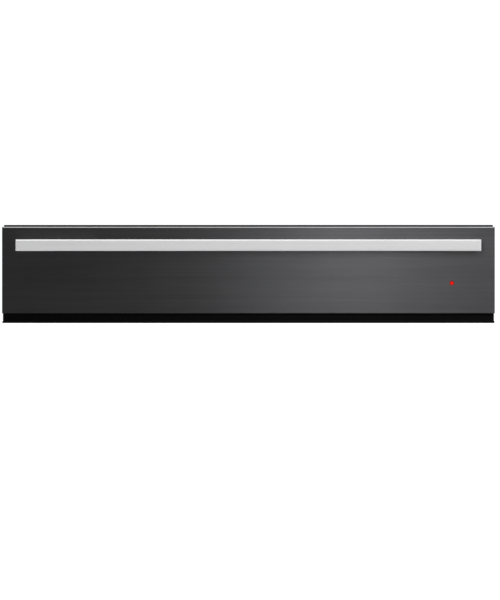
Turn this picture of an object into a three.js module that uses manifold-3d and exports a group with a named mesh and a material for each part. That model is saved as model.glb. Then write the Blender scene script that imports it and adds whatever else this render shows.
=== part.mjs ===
// A built-in warming drawer, 757 mm wide: a steel housing for a cabinet niche, and a heated pan behind a
// dark metal front that pulls out on two telescopic slides. Millimetres, +Z up, the front faces -Y.
//
// Every piece is modelled in the appliance's own frame: x = 0 on its centre line, y = 0 on the face of the
// front frame, z = 0 on the shelf. The last lines move the whole appliance along y, so that its box is
// centred on the origin.

import * as THREE from "three";
import { mergeVertices } from "three/addons/utils/BufferGeometryUtils.js";
import Module from "manifold-3d";

const wasm = await Module();
wasm.setup();

// ---------------------------------------------------------------- sizes that can be set

// Clearances
const seat = 0.3; // between two pieces that are fixed to each other
const running = 0.3; // between a ball, a pin or a shaft and what it runs in

// The face that shows when the drawer is shut
const frontWidth = 757;
const overallHeight = 151;
const plinthHeight = 15; // black strip that shows below the front
const topStripHeight = 3; // black strip that shows above it
const frontThickness = 22;
const frontSheet = 1.2;
const frontBevel = 1.8;
const frontLip = 12;
const linerSheet = 1;
const doorGap = 5; // between the shut front and the front frame
const coreInset = 2;

// Handle
const handleInset = 22; // from the front's end to the bar's
const handleHeight = 17.5;
const handleDepth = 12;
const handleBevel = 1.2;
const handleDrop = 19.8; // from the front's top edge to the bar's top
const fingerGap = 30;
const handleBlockLength = 116;
const handleBlockHeight = 12;
const handleBlockInset = 3; // from the end of the bar to its block
const handleScrewSpacing = 76;
const handleScrewRadius = 2.5;
const handleScrewHeadRadius = 4.5;
const handleScrewHeadHeight = 3;
const handleScrewHeadTop = 3.6; // radius of the head's flat top
const handleScrewLength = 22;

// Indicator lens in the front
const lensFromSide = 66; // from the front's right edge
const lensRise = 46.4; // from the front's lower edge
const lensRadius = 3;
const lensDome = 0.8;
const lensTail = 4; // how far it stands out behind the liner
const lensCollarRadius = 4.6;
const lensCollarThickness = 1.2;

// Housing
const frontOverlap = 20.5; // how far the front stands out past the housing on each side
const bodyDepth = 540;
const frameRise = 4; // how far the front frame stands above the housing
const housingSheet = 1;
const bend = 0.2; // how far a sheet stays back where another folds off it
const housingFlange = 13;
const baseUpstand = 14;
const baseRibs = 3;
const baseRibWidth = 30;
const baseRibInset = 38; // from the housing's side to a rib's end
const coverBeads = 3;
const coverBeadWidth = 18;
const coverBeadInset = 108;
const coverBeadDepth = 1.5;
const sideBeads = 2;
const sideBeadHeight = 12;
const sideBeadLength = 300;
const sideBeadDepth = 1.5;
const sideVentSlots = 9;
const sideVentPitch = 12;
const ventSlotWidth = 4;
const sideVentHeight = 44;
const sideVentRise = 74; // centre of the side vents above the shelf
const sideVentFromBack = 24;
const backVentSlots = 10;
const backVentPitch = 14;
const backVentHeight = 52;
const backVentFromCentre = 110;
const coverVentSlots = 12;
const coverVentPitch = 12;
const coverVentLength = 36;
const coverVentFromBack = 50;

// Front frame and its trims
const frameOverlap = 16.5; // how far it stands out past the housing on each side
const frameSheet = 1.5;
const frameScrewRadius = 2.25;
const frameScrewFromEdge = 8;
const frameScrewRises = [44, 118];
const plinthFaceInset = 1.2; // from the front's end to the plinth's
const plinthLipInset = 0.4;
const plinthLipHeight = 3.3;
const plinthLipDepth = 14;
const plinthSheet = 1.2;
const plinthOverlap = 2; // how far its face runs up behind the front's lower edge
const gasketWidth = 7;
const gasketInset = 2;
const gasketCorner = 9;

// Heated cavity
const sideBay = 82; // between the housing's side and the cavity
const ceilingDrop = 26; // from the housing's top to the cavity's
const rearBay = 48; // between the housing's rear and the cavity
const openingBottom = 26;
const wallSheet = 1.2;
const wallFlange = 14;
const wallTail = 12; // how far the cavity walls run on behind the cavity back
const wallFrontFlange = 7;
const cavitySheet = 1;
const cavityFloorTop = 23;
const floorSlotRows = 4;
const floorSlotColumns = 4;
const floorSlotLength = 90;
const floorSlotWidth = 6;
const baseInsulationThickness = 8;
const insulationInset = 4;

// Heaters
const heaterRadius = 3.25;
const heaterLegs = 6;
const heaterLegPitch = 70;
const heaterHeight = 16;
const heaterFront = 60;
const heaterRearGap = 62; // from its rear bends to the cavity back
const heaterTailLength = 10; // behind the cavity back
const combSheet = 1.2;
const combDepth = 9; // foot of each comb
const combFromEnds = 90;
const combMargin = 22;
const ringToCover = 0.75; // between the ring heater and the fan cover's walls
const ringHeaterGapAngle = 50;

// Fan
const fanToRing = 2.75; // between the wheel and the ring heater
const fanBladeLength = 13;
const fanDepth = 13;
const fanBlades = 14;
const fanBladeThickness = 1.2;
const fanDiscThickness = 1;
const fanBladeAngle = 30; // degrees from the radius
const fanHubRadius = 7;
const fanHubFromFront = 4.3;
const fanShaftRadius = 2.5;
const fanShaftHoleClearance = 3;
const fanBackClearance = 3;
const fanCoverWidth = 250;
const fanCoverMargin = 3.5; // above and below it
const fanCoverDepth = 22;
const fanCoverFlange = 9;
const fanIntakeSlots = 7;
const fanSlotWidth = 4;
const fanSlotPitch = 8;
const fanOutletSlots = 4;
const motorWidth = 56;
const motorHeight = 48;
const motorStack = 17;
const motorCupRadius = 15;
const motorCupDepth = 8;
const motorCoilWidth = 26;
const motorCoilDepth = 24;
const motorCoilRise = 4; // above the iron

// Telescopic slides
const slideRearGap = 39; // from the slides to the cavity back
const slideFront = 3; // behind the face of the front frame
const slideHeight = 45;
const slideThickness = 12.7;
const slideSheet = 1.2;
const slideAxisHeight = 52;
const outerDepth = 9;
const middleDepth = 8.4;
const innerDepth = 7.7;
const slideLip = 1.5;
const ballRadius = 1.8;
const ballPitch = 32;
const ballsPerRow = 4;
const cageSheet = 0.6;
const cageMargin = 6;
const outerCageBehindFront = 130;
const innerCageBehindFront = 160;
const slideScrewRadius = 2.2;
const slideScrewFromFront = 30;
const slideScrewFromRear = 40;

// Pan
const panSheet = 1;
const panTopClearance = 8; // under the cavity's ceiling
const panFloorClearance = 1; // between the opening's lower edge and the pan
const panRim = 8;
const panFlange = 10;
const panRearGap = 8.7; // between the shut pan and the fan cover
const panVentSlots = 13;
const panVentPitch = 18;
const panVentWidth = 8;
const panVentHeight = 40;
const matThickness = 2;
const matInset = 6;

// Controls, behind the front on the right
const windowWidth = 57;
const windowAboveLens = 55.1;
const windowBelowLens = 36.9;
const windowFromGasket = 4;
const fasciaRecess = 18.5;
const fasciaSheet = 1.5;
const fasciaRim = 4;
const knobRadius = 15;
const knobGripRadius = 12;
const knobLength = 13;
const knobSkirt = 3;
const knobBoreDepth = 8;
const knobGrips = 9;
const knobGripStart = 12; // degrees from the knob's top
const knobAboveLens = 30;
const knobShaftRadius = 3;
const knobShaftLength = 22;
const knobShaftHoleClearance = 1;
const fluteRadius = 1.2;
const thermostatWidth = 32;
const thermostatHeight = 34;
const thermostatDepth = 20;
const rockerBelowLens = 20;
const rockerWidth = 11;
const rockerHeight = 17;
const rockerRise = 4.5; // its crown in front of the pivot
const rockerDish = 1; // how much its two ends stand out past the crown
const rockerBack = 3;
const rockerBackShare = 0.6; // height of its back, as a share of its front
const rockerAngle = 8; // either way from the middle, degrees
const rockerPinRadius = 1.4;
const rockerPinLength = 1.5;
const rockerSwing = 1.2; // room for its ends above and below
const switchWall = 2;
const switchDepth = 18;
const switchBezel = 2;
const switchBezelThickness = 1.2;
const lampRadius = 3;
const lampBezelRadius = 5;
const lampBezelThickness = 1.2;
const lampFront = 16; // in front of the fascia
const lampDome = 2;
const lampBack = 12; // behind it
const boardLength = 120;
const boardHeight = 70;
const boardThickness = 1.6;
const boardStandoff = 7;
const boardFromFront = 70;
const boardRise = 35;
const boardSpacerRadius = 2.5;
const boardSpacerInset = 5;
const boardSink = 0.5; // how deep each component is set into the board's face
const relaySize = [15, 19, 16]; // out from the board, along it and up it
const relayCorner = [14, 10]; // from the board's front and lower edges
const transformerSize = [22, 32, 30];
const transformerCorner = [46, 12];
const connectorSize = [9, 76, 8];
const connectorCorner = [14, 54];
const capacitorRadius = 7;
const capacitorHeight = 18;
const capacitorCentre = [98, 24];

// Mains connection at the rear
const terminalWidth = 86;
const terminalHeight = 46;
const terminalDepth = 33;
const terminalWall = 2;
const terminalFromSide = 30;
const glandBore = 4.6;
const glandBarrel = 8;
const glandFlange = 11;
const glandOut = 11; // how far it stands out behind the back panel
const glandNutDepth = 4; // thickness of its nut and of its flange

// Thermal cut-out on the cavity back
const cutoutRadius = 8;
const cutoutDepth = 9;
const cutoutEar = 4; // how far each ear stands out, and half its height
const cutoutFromFan = 95;

// ---------------------------------------------------------------- sizes that follow

const frontHeight = overallHeight - plinthHeight - topStripHeight;
const frontTop = plinthHeight + frontHeight;
const frontFaceY = -doorGap - frontThickness;
const frontBackY = -doorGap;
const lensX = frontWidth / 2 - lensFromSide;
const lensZ = plinthHeight + lensRise;
const handleZ = frontTop - handleDrop - handleHeight / 2;
const handleFrontY = frontFaceY - fingerGap - handleDepth;
const handleLength = frontWidth - 2 * handleInset;
const handleBlockX = handleLength / 2 - handleBlockInset - handleBlockLength / 2;

const bodyWidth = frontWidth - 2 * frontOverlap;
const bodyHeight = overallHeight - frameRise;
const frameWidth = bodyWidth + 2 * frameOverlap;
const frameBackY = frameSheet;
const housingFrontY = frameBackY + seat;
const backPanelY = bodyDepth - housingSheet;
const coverBottom = bodyHeight - housingSheet;
const flangeTop = coverBottom - seat;
const trayBottom = housingSheet + seat;
const trayTop = trayBottom + housingSheet;

const cavityHalf = bodyWidth / 2 - sideBay;
const cavityTop = bodyHeight - ceilingDrop;
const cavityBackY = bodyDepth - rearBay;
const wallBottom = trayTop + seat;
const linerHalf = cavityHalf - seat;
const cavityFrontOfBackY = cavityBackY - seat;
const heaterSpan = (heaterLegs - 1) * heaterLegPitch;
const heaterRearBend = cavityBackY - heaterRearGap;
const fanZ = (cavityFloorTop + cavityTop) / 2;
const fanCoverHeight = cavityTop - cavityFloorTop - 2 * fanCoverMargin;
const ringHeaterRadius = fanCoverHeight / 2 - cavitySheet - ringToCover - heaterRadius;
const fanRadius = ringHeaterRadius - heaterRadius - fanToRing;
const fanBladeInner = fanRadius - fanBladeLength;
const fanCoverFrontY = cavityFrontOfBackY - fanCoverDepth;
const fanFrontY = cavityBackY - fanBackClearance - fanDepth;
const motorFrontY = cavityBackY + cavitySheet + seat;
const motorStackY = [motorFrontY + motorCupDepth, motorFrontY + motorCupDepth + motorStack];

const slideX = -cavityHalf + seat; // the left-hand slide's back
const slideLength = cavityBackY - slideRearGap - slideFront;
const panHalf = cavityHalf - slideThickness - 2 * seat;
const panBottom = openingBottom + panFloorClearance;
const panTop = cavityTop - panTopClearance;
const panFrontY = frontBackY + seat;
const panRearY = fanCoverFrontY - panRearGap;
const panFloorBottom = panBottom + panSheet + seat;
const panFloorTop = panFloorBottom + panSheet;
const panBackY = panRearY - panSheet - seat - panSheet;

const windowX = cavityHalf + gasketInset + gasketWidth + windowFromGasket;
const windowRise = lensZ - windowBelowLens;
const windowHeight = windowAboveLens + windowBelowLens;
const fasciaY = frameBackY + seat + fasciaRecess;
const knobZ = lensZ + knobAboveLens;
const rockerZ = lensZ - rockerBelowLens;

const terminalX = -bodyWidth / 2 + terminalFromSide + terminalWidth / 2;
const terminalZ = trayBottom + baseUpstand + seat + terminalHeight / 2;
const terminalBackY = backPanelY - seat;

// ---------------------------------------------------------------- finishes

function finish(color, roughness, metalness) {
  return new THREE.MeshStandardMaterial({ color, roughness, metalness });
}

const graphiteSteel = finish(0x3b3b3d, 0.42, 0.7);
const brushedSteel = finish(0xc9c9cc, 0.32, 0.9);
const stainless = finish(0xb9babc, 0.38, 0.9);
const galvanised = finish(0xa3a8aa, 0.5, 0.8);
const blackPaint = finish(0x0b0b0c, 0.5, 0.1);
const blackPlastic = finish(0x17181a, 0.45, 0);
const silicone = finish(0x2a2c2e, 0.85, 0);
const zincPlate = finish(0xc2c4c0, 0.35, 0.9);
const redLens = finish(0xe01408, 0.25, 0);
const heaterSheath = finish(0x5c564f, 0.55, 0.6);
const mineralBoard = finish(0xc9bf9c, 0.95, 0);
const aluminium = finish(0xc6c9cc, 0.45, 0.9);
const boardGreen = finish(0x1f5a37, 0.6, 0);
const motorIron = finish(0x6b6e73, 0.5, 0.7);
const greyPlastic = finish(0x8a8d90, 0.6, 0);

// ---------------------------------------------------------------- shapes

/** Sets both ends of a straight geometry along an axis, so that faces in one plane match exactly. */
function span(geometry, axis, [low, high]) {
  geometry.computeBoundingBox();
  const { min, max } = geometry.boundingBox;
  const middle = (min[axis] + max[axis]) / 2;
  const component = "xyz".indexOf(axis);
  const at = geometry.attributes.position;
  for (let i = 0; i < at.count; i++) {
    at.setComponent(i, component, at.getComponent(i, component) < middle ? low : high);
  }
  return geometry;
}

/** A box from its span along each axis. */
function box(x, y, z) {
  return span(span(span(new THREE.BoxGeometry(), "x", x), "y", y), "z", z);
}

/** A box, y from 0 to depth, whose edges round the face at y = 0 are bevelled. */
function bevelledBlock(width, depth, height, bevel) {
  const geometry = new THREE.BoxGeometry(width, 2, height, 1, 2, 1);
  const at = geometry.attributes.position;
  for (let i = 0; i < at.count; i++) {
    const ring = at.getY(i) + 1; // 0 front, 1 end of the bevel, 2 rear
    const inset = ring === 0 ? bevel : 0;
    const [x, z] = [at.getX(i), at.getZ(i)];
    at.setXYZ(i, x - Math.sign(x) * inset, [0, bevel, depth][ring], z - Math.sign(z) * inset);
  }
  return geometry;
}

function outlineOf(points, Kind = THREE.Shape) {
  return new Kind(points.map(([x, y]) => new THREE.Vector2(x, y)));
}

function rectangle([x0, x1], [y0, y1], Kind = THREE.Shape) {
  const corners = [
    [x0, y0],
    [x1, y0],
    [x1, y1],
    [x0, y1],
  ];
  return outlineOf(corners, Kind);
}

/** C-shaped section: its back is at x = from, its flanges end at x = to, each with a lip if lip > 0. */
function channel(from, to, [z0, z1], sheet, lip = 0) {
  const inward = Math.sign(to - from) * sheet;
  const end = (z, up) => {
    const square = [
      [to, z],
      [to, z + up * (sheet + lip)],
    ];
    const hem = [
      [to - inward, z + up * (sheet + lip)],
      [to - inward, z + up * sheet],
    ];
    return lip ? [...square, ...hem] : square;
  };
  const back = [
    [from, z1],
    [from, z0],
  ];
  const inside = [
    [from + inward, z0 + sheet],
    [from + inward, z1 - sheet],
  ];
  return outlineOf([...back, ...end(z0, 1), ...inside, ...end(z1, -1).reverse()]);
}

function roundedRectangle([x0, x1], [y0, y1], r, Kind = THREE.Shape) {
  const path = new Kind();
  path.moveTo(x0 + r, y0).lineTo(x1 - r, y0);
  path.absarc(x1 - r, y0 + r, r, -Math.PI / 2, 0);
  path.lineTo(x1, y1 - r);
  path.absarc(x1 - r, y1 - r, r, 0, Math.PI / 2);
  path.lineTo(x0 + r, y1);
  path.absarc(x0 + r, y1 - r, r, Math.PI / 2, Math.PI);
  path.lineTo(x0, y0 + r);
  path.absarc(x0 + r, y0 + r, r, Math.PI, 1.5 * Math.PI);
  return path;
}

/** A round-ended slot about a centre: long and wide are its whole length along x and along y. */
function slotHole(x, y, long, wide) {
  const r = Math.min(long, wide) / 2;
  const path = new THREE.Path();
  const dx = long / 2 - r;
  const dy = wide / 2 - r;
  const quarter = Math.PI / 2;
  const first = dx > dy ? -quarter : 0;
  path.absarc(x + dx, y + dy, r, first, first + Math.PI);
  path.absarc(x - dx, y - dy, r, first + Math.PI, first + 2 * Math.PI);
  return path;
}

function roundHole(x, y, radius) {
  const path = new THREE.Path();
  for (let quarter = 0; quarter < 4; quarter++) {
    path.absarc(x, y, radius, (quarter * Math.PI) / 2, ((quarter + 1) * Math.PI) / 2);
  }
  return path;
}

const alongX = new THREE.Vector3(1, 0, 0);
const alongY = new THREE.Vector3(0, 1, 0);
const alongZ = new THREE.Vector3(0, 0, 1);
const standing = {
  x: new THREE.Matrix4().makeBasis(alongY, alongZ, alongX),
  y: new THREE.Matrix4().makeBasis(alongX, alongZ, alongY.clone().negate()),
  z: new THREE.Matrix4(),
};

/** An outline carried along an axis: it is drawn in (y, z) for x, in (x, z) for y and in (x, y) for z. */
function plate(axis, fromTo, outline) {
  const options = { depth: 1, bevelEnabled: false, curveSegments: 2 };
  return span(new THREE.ExtrudeGeometry(outline, options).applyMatrix4(standing[axis]), axis, fromTo);
}

/** A round bar along y about (x, z). */
function bar(radius, y, x = 0, z = 0, segments = 16) {
  return span(new THREE.CylinderGeometry(radius, radius, 1, segments).translate(x, 0, z), "y", y);
}

/** A round bar along x about (y, z). */
function crossBar(radius, x, y, z, segments = 12) {
  const geometry = new THREE.CylinderGeometry(radius, radius, 1, segments).rotateZ(Math.PI / 2);
  return span(geometry.translate(0, y, z), "x", x);
}

/** A turned piece about the y axis, from its outline as [radius, y] points. */
function turned(points, segments = 20) {
  return new THREE.LatheGeometry(points.map(([r, y]) => new THREE.Vector2(r, y)), segments);
}

/** A round tube with closed ends through a list of points. */
function tube(points, radius, sides = 8) {
  const anyDirection = new THREE.Vector3(1, 0.5, 3);
  const normal = new THREE.Vector3();
  const side = new THREE.Vector3();
  const positions = [];
  const faces = [];
  points.forEach((point, i) => {
    const before = points[Math.max(i - 1, 0)];
    const after = points[Math.min(i + 1, points.length - 1)];
    const along = after.clone().sub(before).normalize();
    if (i === 0) normal.copy(anyDirection);
    normal.addScaledVector(along, -normal.dot(along)).normalize();
    side.crossVectors(along, normal);
    for (let k = 0; k < sides; k++) {
      const angle = (2 * Math.PI * k) / sides;
      const rim = point.clone();
      rim.addScaledVector(normal, radius * Math.cos(angle)).addScaledVector(side, radius * Math.sin(angle));
      positions.push(rim.x, rim.y, rim.z);
      if (i === 0) continue;
      const here = i * sides + k;
      const next = i * sides + ((k + 1) % sides);
      faces.push(here - sides, next - sides, next, here - sides, next, here);
    }
  });
  const last = (points.length - 1) * sides;
  for (let k = 1; k < sides - 1; k++) {
    faces.push(0, k + 1, k);
    faces.push(last, last + k, last + k + 1);
  }
  const geometry = new THREE.BufferGeometry();
  geometry.setAttribute("position", new THREE.Float32BufferAttribute(positions, 3));
  return geometry.setIndex(faces);
}

// ---------------------------------------------------------------- joining and cutting

const weldDistance = 1e-4;

function solid(geometry) {
  const bare = geometry.clone();
  bare.deleteAttribute("normal");
  bare.deleteAttribute("uv");
  const welded = mergeVertices(bare, weldDistance);
  const mesh = new wasm.Mesh({
    numProp: 3,
    vertProperties: welded.attributes.position.array,
    triVerts: new Uint32Array(welded.index.array),
  });
  return new wasm.Manifold(mesh);
}

function geometryOf(made) {
  const { vertProperties, triVerts } = made.getMesh();
  const geometry = new THREE.BufferGeometry();
  geometry.setAttribute("position", new THREE.BufferAttribute(vertProperties, 3));
  geometry.setIndex(new THREE.BufferAttribute(triVerts, 1));
  return geometry;
}

function join(...geometries) {
  return geometryOf(geometries.map(solid).reduce((all, one) => all.add(one)));
}

function cut(geometry, ...tools) {
  return geometryOf(tools.map(solid).reduce((left, tool) => left.subtract(tool), solid(geometry)));
}

/** Calls make with 0, 1, 2 ... and each copy's place in a row that is centred on zero. */
function row(count, pitch, make) {
  return Array.from({ length: count }, (_, i) => make((i - (count - 1) / 2) * pitch, i));
}

function piece(name, geometry, material) {
  const mesh = new THREE.Mesh(geometry, material);
  mesh.name = name;
  return mesh;
}

function place(mesh, x, y, z) {
  mesh.position.set(x, y, z);
  return mesh;
}

/** The same geometry on the left and, mirrored, on the right. */
function pair(name, geometry, material) {
  const right = piece(`${name}_right`, geometry, material);
  right.scale.x = -1;
  return [piece(`${name}_left`, geometry, material), right];
}

// ---------------------------------------------------------------- drawer front

const handleScrewXs = [-1, 1].flatMap((side) => row(2, handleScrewSpacing, (x) => side * handleBlockX + x));
const lipY = frontThickness - linerSheet - seat; // back of the skin's lips, from the front's face

/** Folded skin: face, four returns and the lips that the liner is screwed to. Its face is at y = 0. */
function frontSkin() {
  const innerBevel = frontBevel - (2 - Math.SQRT2) * frontSheet;
  const inside = [frontWidth / 2 - frontSheet, frontHeight / 2 - frontSheet];
  const middleZ = (plinthHeight + frontTop) / 2;
  const beyond = frontThickness + 1;
  const across = ([halfWidth, halfHeight], y) => box([-halfWidth, halfWidth], y, [-halfHeight, halfHeight]);
  const hollow = bevelledBlock(2 * inside[0], lipY - 2 * frontSheet, 2 * inside[1], innerBevel);
  const withinLips = inside.map((size) => size - frontLip);
  const throughFace = [-1, frontSheet + 1];
  const block = bevelledBlock(frontWidth, frontThickness, frontHeight, frontBevel);
  const skin = cut(
    block,
    hollow.translate(0, frontSheet, 0),
    across(withinLips, [frontThickness / 2, beyond]),
    across(inside, [lipY, beyond]), // the liner lies here
    bar(lensRadius + running, throughFace, lensX, lensZ - middleZ),
    ...handleScrewXs.map((x) => bar(handleScrewRadius + running, throughFace, x, handleZ - middleZ, 12)),
  );
  return skin.translate(0, frontFaceY, middleZ);
}

/** Inner cover of the front, let in between the skin's returns. */
function frontLiner() {
  const halfWidth = frontWidth / 2 - frontSheet - seat;
  const margin = frontSheet + seat;
  const outline = rectangle([-halfWidth, halfWidth], [plinthHeight + margin, frontTop - margin]);
  outline.holes.push(roundHole(lensX, lensZ, lensRadius + running));
  return plate("y", [frontBackY - linerSheet, frontBackY], outline);
}

/** Insulating board inside the front. */
function frontCore() {
  const halfWidth = frontWidth / 2 - frontSheet - coreInset;
  const margin = frontSheet + coreInset;
  const from = frontFaceY + frontSheet + seat;
  const to = frontFaceY + lipY - frontSheet - seat;
  const slab = box([-halfWidth, halfWidth], [from, to], [plinthHeight + margin, frontTop - margin]);
  const headPocket = from + handleScrewHeadHeight + seat;
  return cut(
    slab,
    bar(lensCollarRadius + seat, [from - 1, to + 1], lensX, lensZ),
    ...handleScrewXs.map((x) => bar(handleScrewHeadRadius + seat, [from - 1, headPocket], x, handleZ, 12)),
  );
}

/** Red light guide: it carries the pilot lamp's light from the housing through the front. */
function indicatorLens() {
  const tail = frontThickness + lensTail;
  const collarFront = frontSheet + seat;
  return turned([
    [0, -lensDome],
    [lensRadius * Math.SQRT1_2, -lensDome * Math.SQRT1_2],
    [lensRadius, 0],
    [lensRadius, collarFront],
    [lensCollarRadius, collarFront],
    [lensCollarRadius, collarFront + lensCollarThickness],
    [lensRadius, collarFront + lensCollarThickness],
    [lensRadius, tail],
    [0, tail],
  ]).translate(lensX, frontFaceY, lensZ);
}

function handleBar() {
  const block = bevelledBlock(handleLength, handleDepth, handleHeight, handleBevel);
  return block.translate(0, handleFrontY, handleZ);
}

/** Block between the left end of the bar and the front, tapped for two screws. */
function handleBlock() {
  const y = [frontFaceY - fingerGap + seat, frontFaceY - seat];
  const half = handleBlockHeight / 2;
  const x = [-handleBlockX - handleBlockLength / 2, -handleBlockX + handleBlockLength / 2];
  const block = box(x, y, [handleZ - half, handleZ + half]);
  const boreEnd = frontFaceY + frontSheet + seat - handleScrewLength - 1;
  const bores = row(2, handleScrewSpacing, (dx) =>
    bar(handleScrewRadius + running, [boreEnd, y[1] + 1], dx - handleBlockX, handleZ, 12),
  );
  return cut(block, ...bores);
}

/** Pan-head screw with its shank towards -y and its head's underside at y = 0. */
function handleScrew() {
  return turned(
    [
      [0, -handleScrewLength],
      [handleScrewRadius, -handleScrewLength],
      [handleScrewRadius, 0],
      [handleScrewHeadRadius, 0],
      [handleScrewHeadTop, handleScrewHeadHeight],
      [0, handleScrewHeadHeight],
    ],
    12,
  );
}

// ---------------------------------------------------------------- pan

/** Left side of the pan, with its rim and the flanges that carry floor, rear and front. */
function panSide() {
  const out = -panHalf;
  const inside = out + panSheet;
  const foot = out + panFlange;
  const rim = out - panRim;
  const section = outlineOf([
    [out, panBottom],
    [foot, panBottom],
    [foot, panBottom + panSheet],
    [inside, panBottom + panSheet],
    [inside, panTop],
    [rim, panTop],
    [rim, panTop - panSheet],
    [out, panTop - panSheet],
  ]);
  const flangeZ = [panBottom + bend, panTop - bend];
  const root = out + panSheet / 2;
  return join(
    plate("y", [panFrontY + bend, panRearY - bend], section),
    box([root, foot - bend], [panRearY - panSheet, panRearY], flangeZ),
    box([rim + bend, root], [panFrontY, panFrontY + panSheet], flangeZ),
  );
}

function panFloor() {
  const half = panHalf - panSheet - seat;
  return box([-half, half], [panFrontY, panBackY + panSheet], [panFloorBottom, panFloorTop]);
}

/** Rear wall of the pan, slotted where the fan blows. */
function panBack() {
  const half = panHalf - panSheet - seat;
  const outline = rectangle([-half, half], [panFloorTop + seat, panTop]);
  const slots = row(panVentSlots, panVentPitch, (x) => slotHole(x, fanZ, panVentWidth, panVentHeight));
  outline.holes.push(...slots);
  return plate("y", [panBackY, panBackY + panSheet], outline);
}

function nonSlipMat() {
  const half = panHalf - panSheet - matInset;
  const bottom = panFloorTop + seat;
  const outline = roundedRectangle([-half, half], [panFrontY + matInset, panBackY - matInset], matInset);
  return plate("z", [bottom, bottom + matThickness], outline);
}

// ---------------------------------------------------------------- telescopic slides, left-hand side

const slideY = [slideFront, slideFront + slideLength];
const ballRace = 2 * ballRadius + 2 * running; // height between two members
const outerHalf = slideHeight / 2;
const middleHalf = outerHalf - slideSheet - ballRace;
const innerHalf = middleHalf - slideSheet - ballRace;
const outerCageX = slideSheet + running;
const middleX = outerCageX + cageSheet + running;
const innerCageX = middleX + slideSheet + running;
const outerBallX = outerDepth / 2;
const innerBallX = innerCageX + cageSheet + running + ballRadius;
const slideScrewYs = [slideScrewFromFront, slideLength / 2, slideLength - slideScrewFromRear].map(
  (y) => slideFront + y,
);

function screwHoles([x0, x1]) {
  return slideScrewYs.map((y) => crossBar(slideScrewRadius, [x0, x1], y, 0, 8));
}

/** Member that is screwed to the cavity wall. */
function outerMember() {
  const section = channel(0, outerDepth, [-outerHalf, outerHalf], slideSheet, slideLip);
  return cut(plate("y", slideY, section), ...screwHoles([-1, slideSheet + 1]));
}

function middleMember() {
  const section = channel(middleX, middleX + middleDepth, [-middleHalf, middleHalf], slideSheet, slideLip);
  return plate("y", slideY, section);
}

/** Member that is screwed to the pan: a channel that opens towards the wall. */
function innerMember() {
  const section = channel(slideThickness, slideThickness - innerDepth, [-innerHalf, innerHalf], slideSheet);
  const web = [slideThickness - slideSheet - 1, slideThickness + 1];
  return cut(plate("y", slideY, section), ...screwHoles(web));
}

/** Retainer strip with its two rows of balls, between two members. */
function ballCage(from, ballX, raceZ, behindFront) {
  const y0 = slideFront + behindFront;
  const y = [y0, y0 + (ballsPerRow - 1) * ballPitch + 2 * cageMargin];
  const half = raceZ + cageSheet / 2;
  const strip = plate("y", y, channel(from, ballX + ballRadius / 2, [-half, half], cageSheet));
  const balls = [-raceZ, raceZ].flatMap((z) =>
    Array.from({ length: ballsPerRow }, (_, i) =>
      new THREE.SphereGeometry(ballRadius, 6, 4).translate(ballX, y0 + cageMargin + i * ballPitch, z),
    ),
  );
  return join(strip, ...balls);
}

function outerCage() {
  return ballCage(outerCageX, outerBallX, (outerHalf - slideSheet + middleHalf) / 2, outerCageBehindFront);
}

function innerCage() {
  return ballCage(innerCageX, innerBallX, (middleHalf - slideSheet + innerHalf) / 2, innerCageBehindFront);
}

/** One member on the left and its mirror image on the right, at the slides' height. */
function slidePair(name, geometry, material) {
  geometry.translate(slideX, 0, slideAxisHeight);
  return pair(name, geometry, material);
}

// ---------------------------------------------------------------- housing shell

/** Base sheet on the side panels' feet, with upturned ends and ribs pressed down to the shelf. */
function baseTray() {
  const half = bodyWidth / 2 - housingSheet - seat;
  const endHalf = bodyWidth / 2 - housingFlange - seat;
  const front = housingFrontY;
  const rear = backPanelY - seat - housingSheet - seat;
  const endZ = [trayBottom + bend, trayBottom + baseUpstand];
  const rib = (inset, z) => (y) => {
    const [halfLength, halfWidth] = [bodyWidth / 2 - baseRibInset - inset, baseRibWidth / 2 - inset];
    const middle = (front + rear) / 2 + y;
    return box([-halfLength, halfLength], [middle - halfWidth, middle + halfWidth], z);
  };
  const pitch = (rear - front) / baseRibs;
  const sheet = join(
    box([-half, half], [front + bend, rear - bend], [trayBottom, trayTop]),
    box([-endHalf, endHalf], [front, front + housingSheet], endZ),
    box([-endHalf, endHalf], [rear - housingSheet, rear], endZ),
    ...row(baseRibs, pitch, rib(0, [0, trayTop - bend])),
  );
  return cut(sheet, ...row(baseRibs, pitch, rib(housingSheet, [housingSheet, trayTop + 1])));
}

/** Left side panel: web, three flanges, two long beads pressed inwards and a bank of vent slots. */
function sidePanel() {
  const out = -bodyWidth / 2;
  const front = housingFrontY;
  const rear = backPanelY - seat;
  const ventMiddle = rear - sideVentFromBack - ((sideVentSlots - 1) * sideVentPitch) / 2;
  const vent = (y) => slotHole(ventMiddle + y, sideVentRise, ventSlotWidth, sideVentHeight);
  const web = rectangle([front, rear - bend], [bend, flangeTop - bend]);
  web.holes.push(...row(sideVentSlots, sideVentPitch, vent));
  const flangeX = [out + bend, out + housingFlange];
  const flangeY = [front + bend, rear - 2 * bend];
  const rearFlangeX = [out + bend, out + housingFlange - bend];
  const bead = (inset, x) => (z) => {
    const [y0, middle] = [front + sideVentFromBack, flangeTop / 2 + z];
    const half = sideBeadHeight / 2 - inset;
    return box(x, [y0 + inset, y0 + sideBeadLength - inset], [middle - half, middle + half]);
  };
  const beadPitch = flangeTop / (sideBeads + 1);
  const pressedX = [out + housingSheet / 2, out + housingSheet + sideBeadDepth];
  const panel = join(
    plate("x", [out, out + housingSheet], web),
    box(flangeX, flangeY, [flangeTop - housingSheet, flangeTop]),
    box(flangeX, flangeY, [0, housingSheet]),
    box(rearFlangeX, [rear - housingSheet, rear], [2 * bend, flangeTop - 2 * bend]),
    ...row(sideBeads, beadPitch, bead(0, pressedX)),
  );
  return cut(panel, ...row(sideBeads, beadPitch, bead(housingSheet, [out - 1, out + sideBeadDepth])));
}

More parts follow.
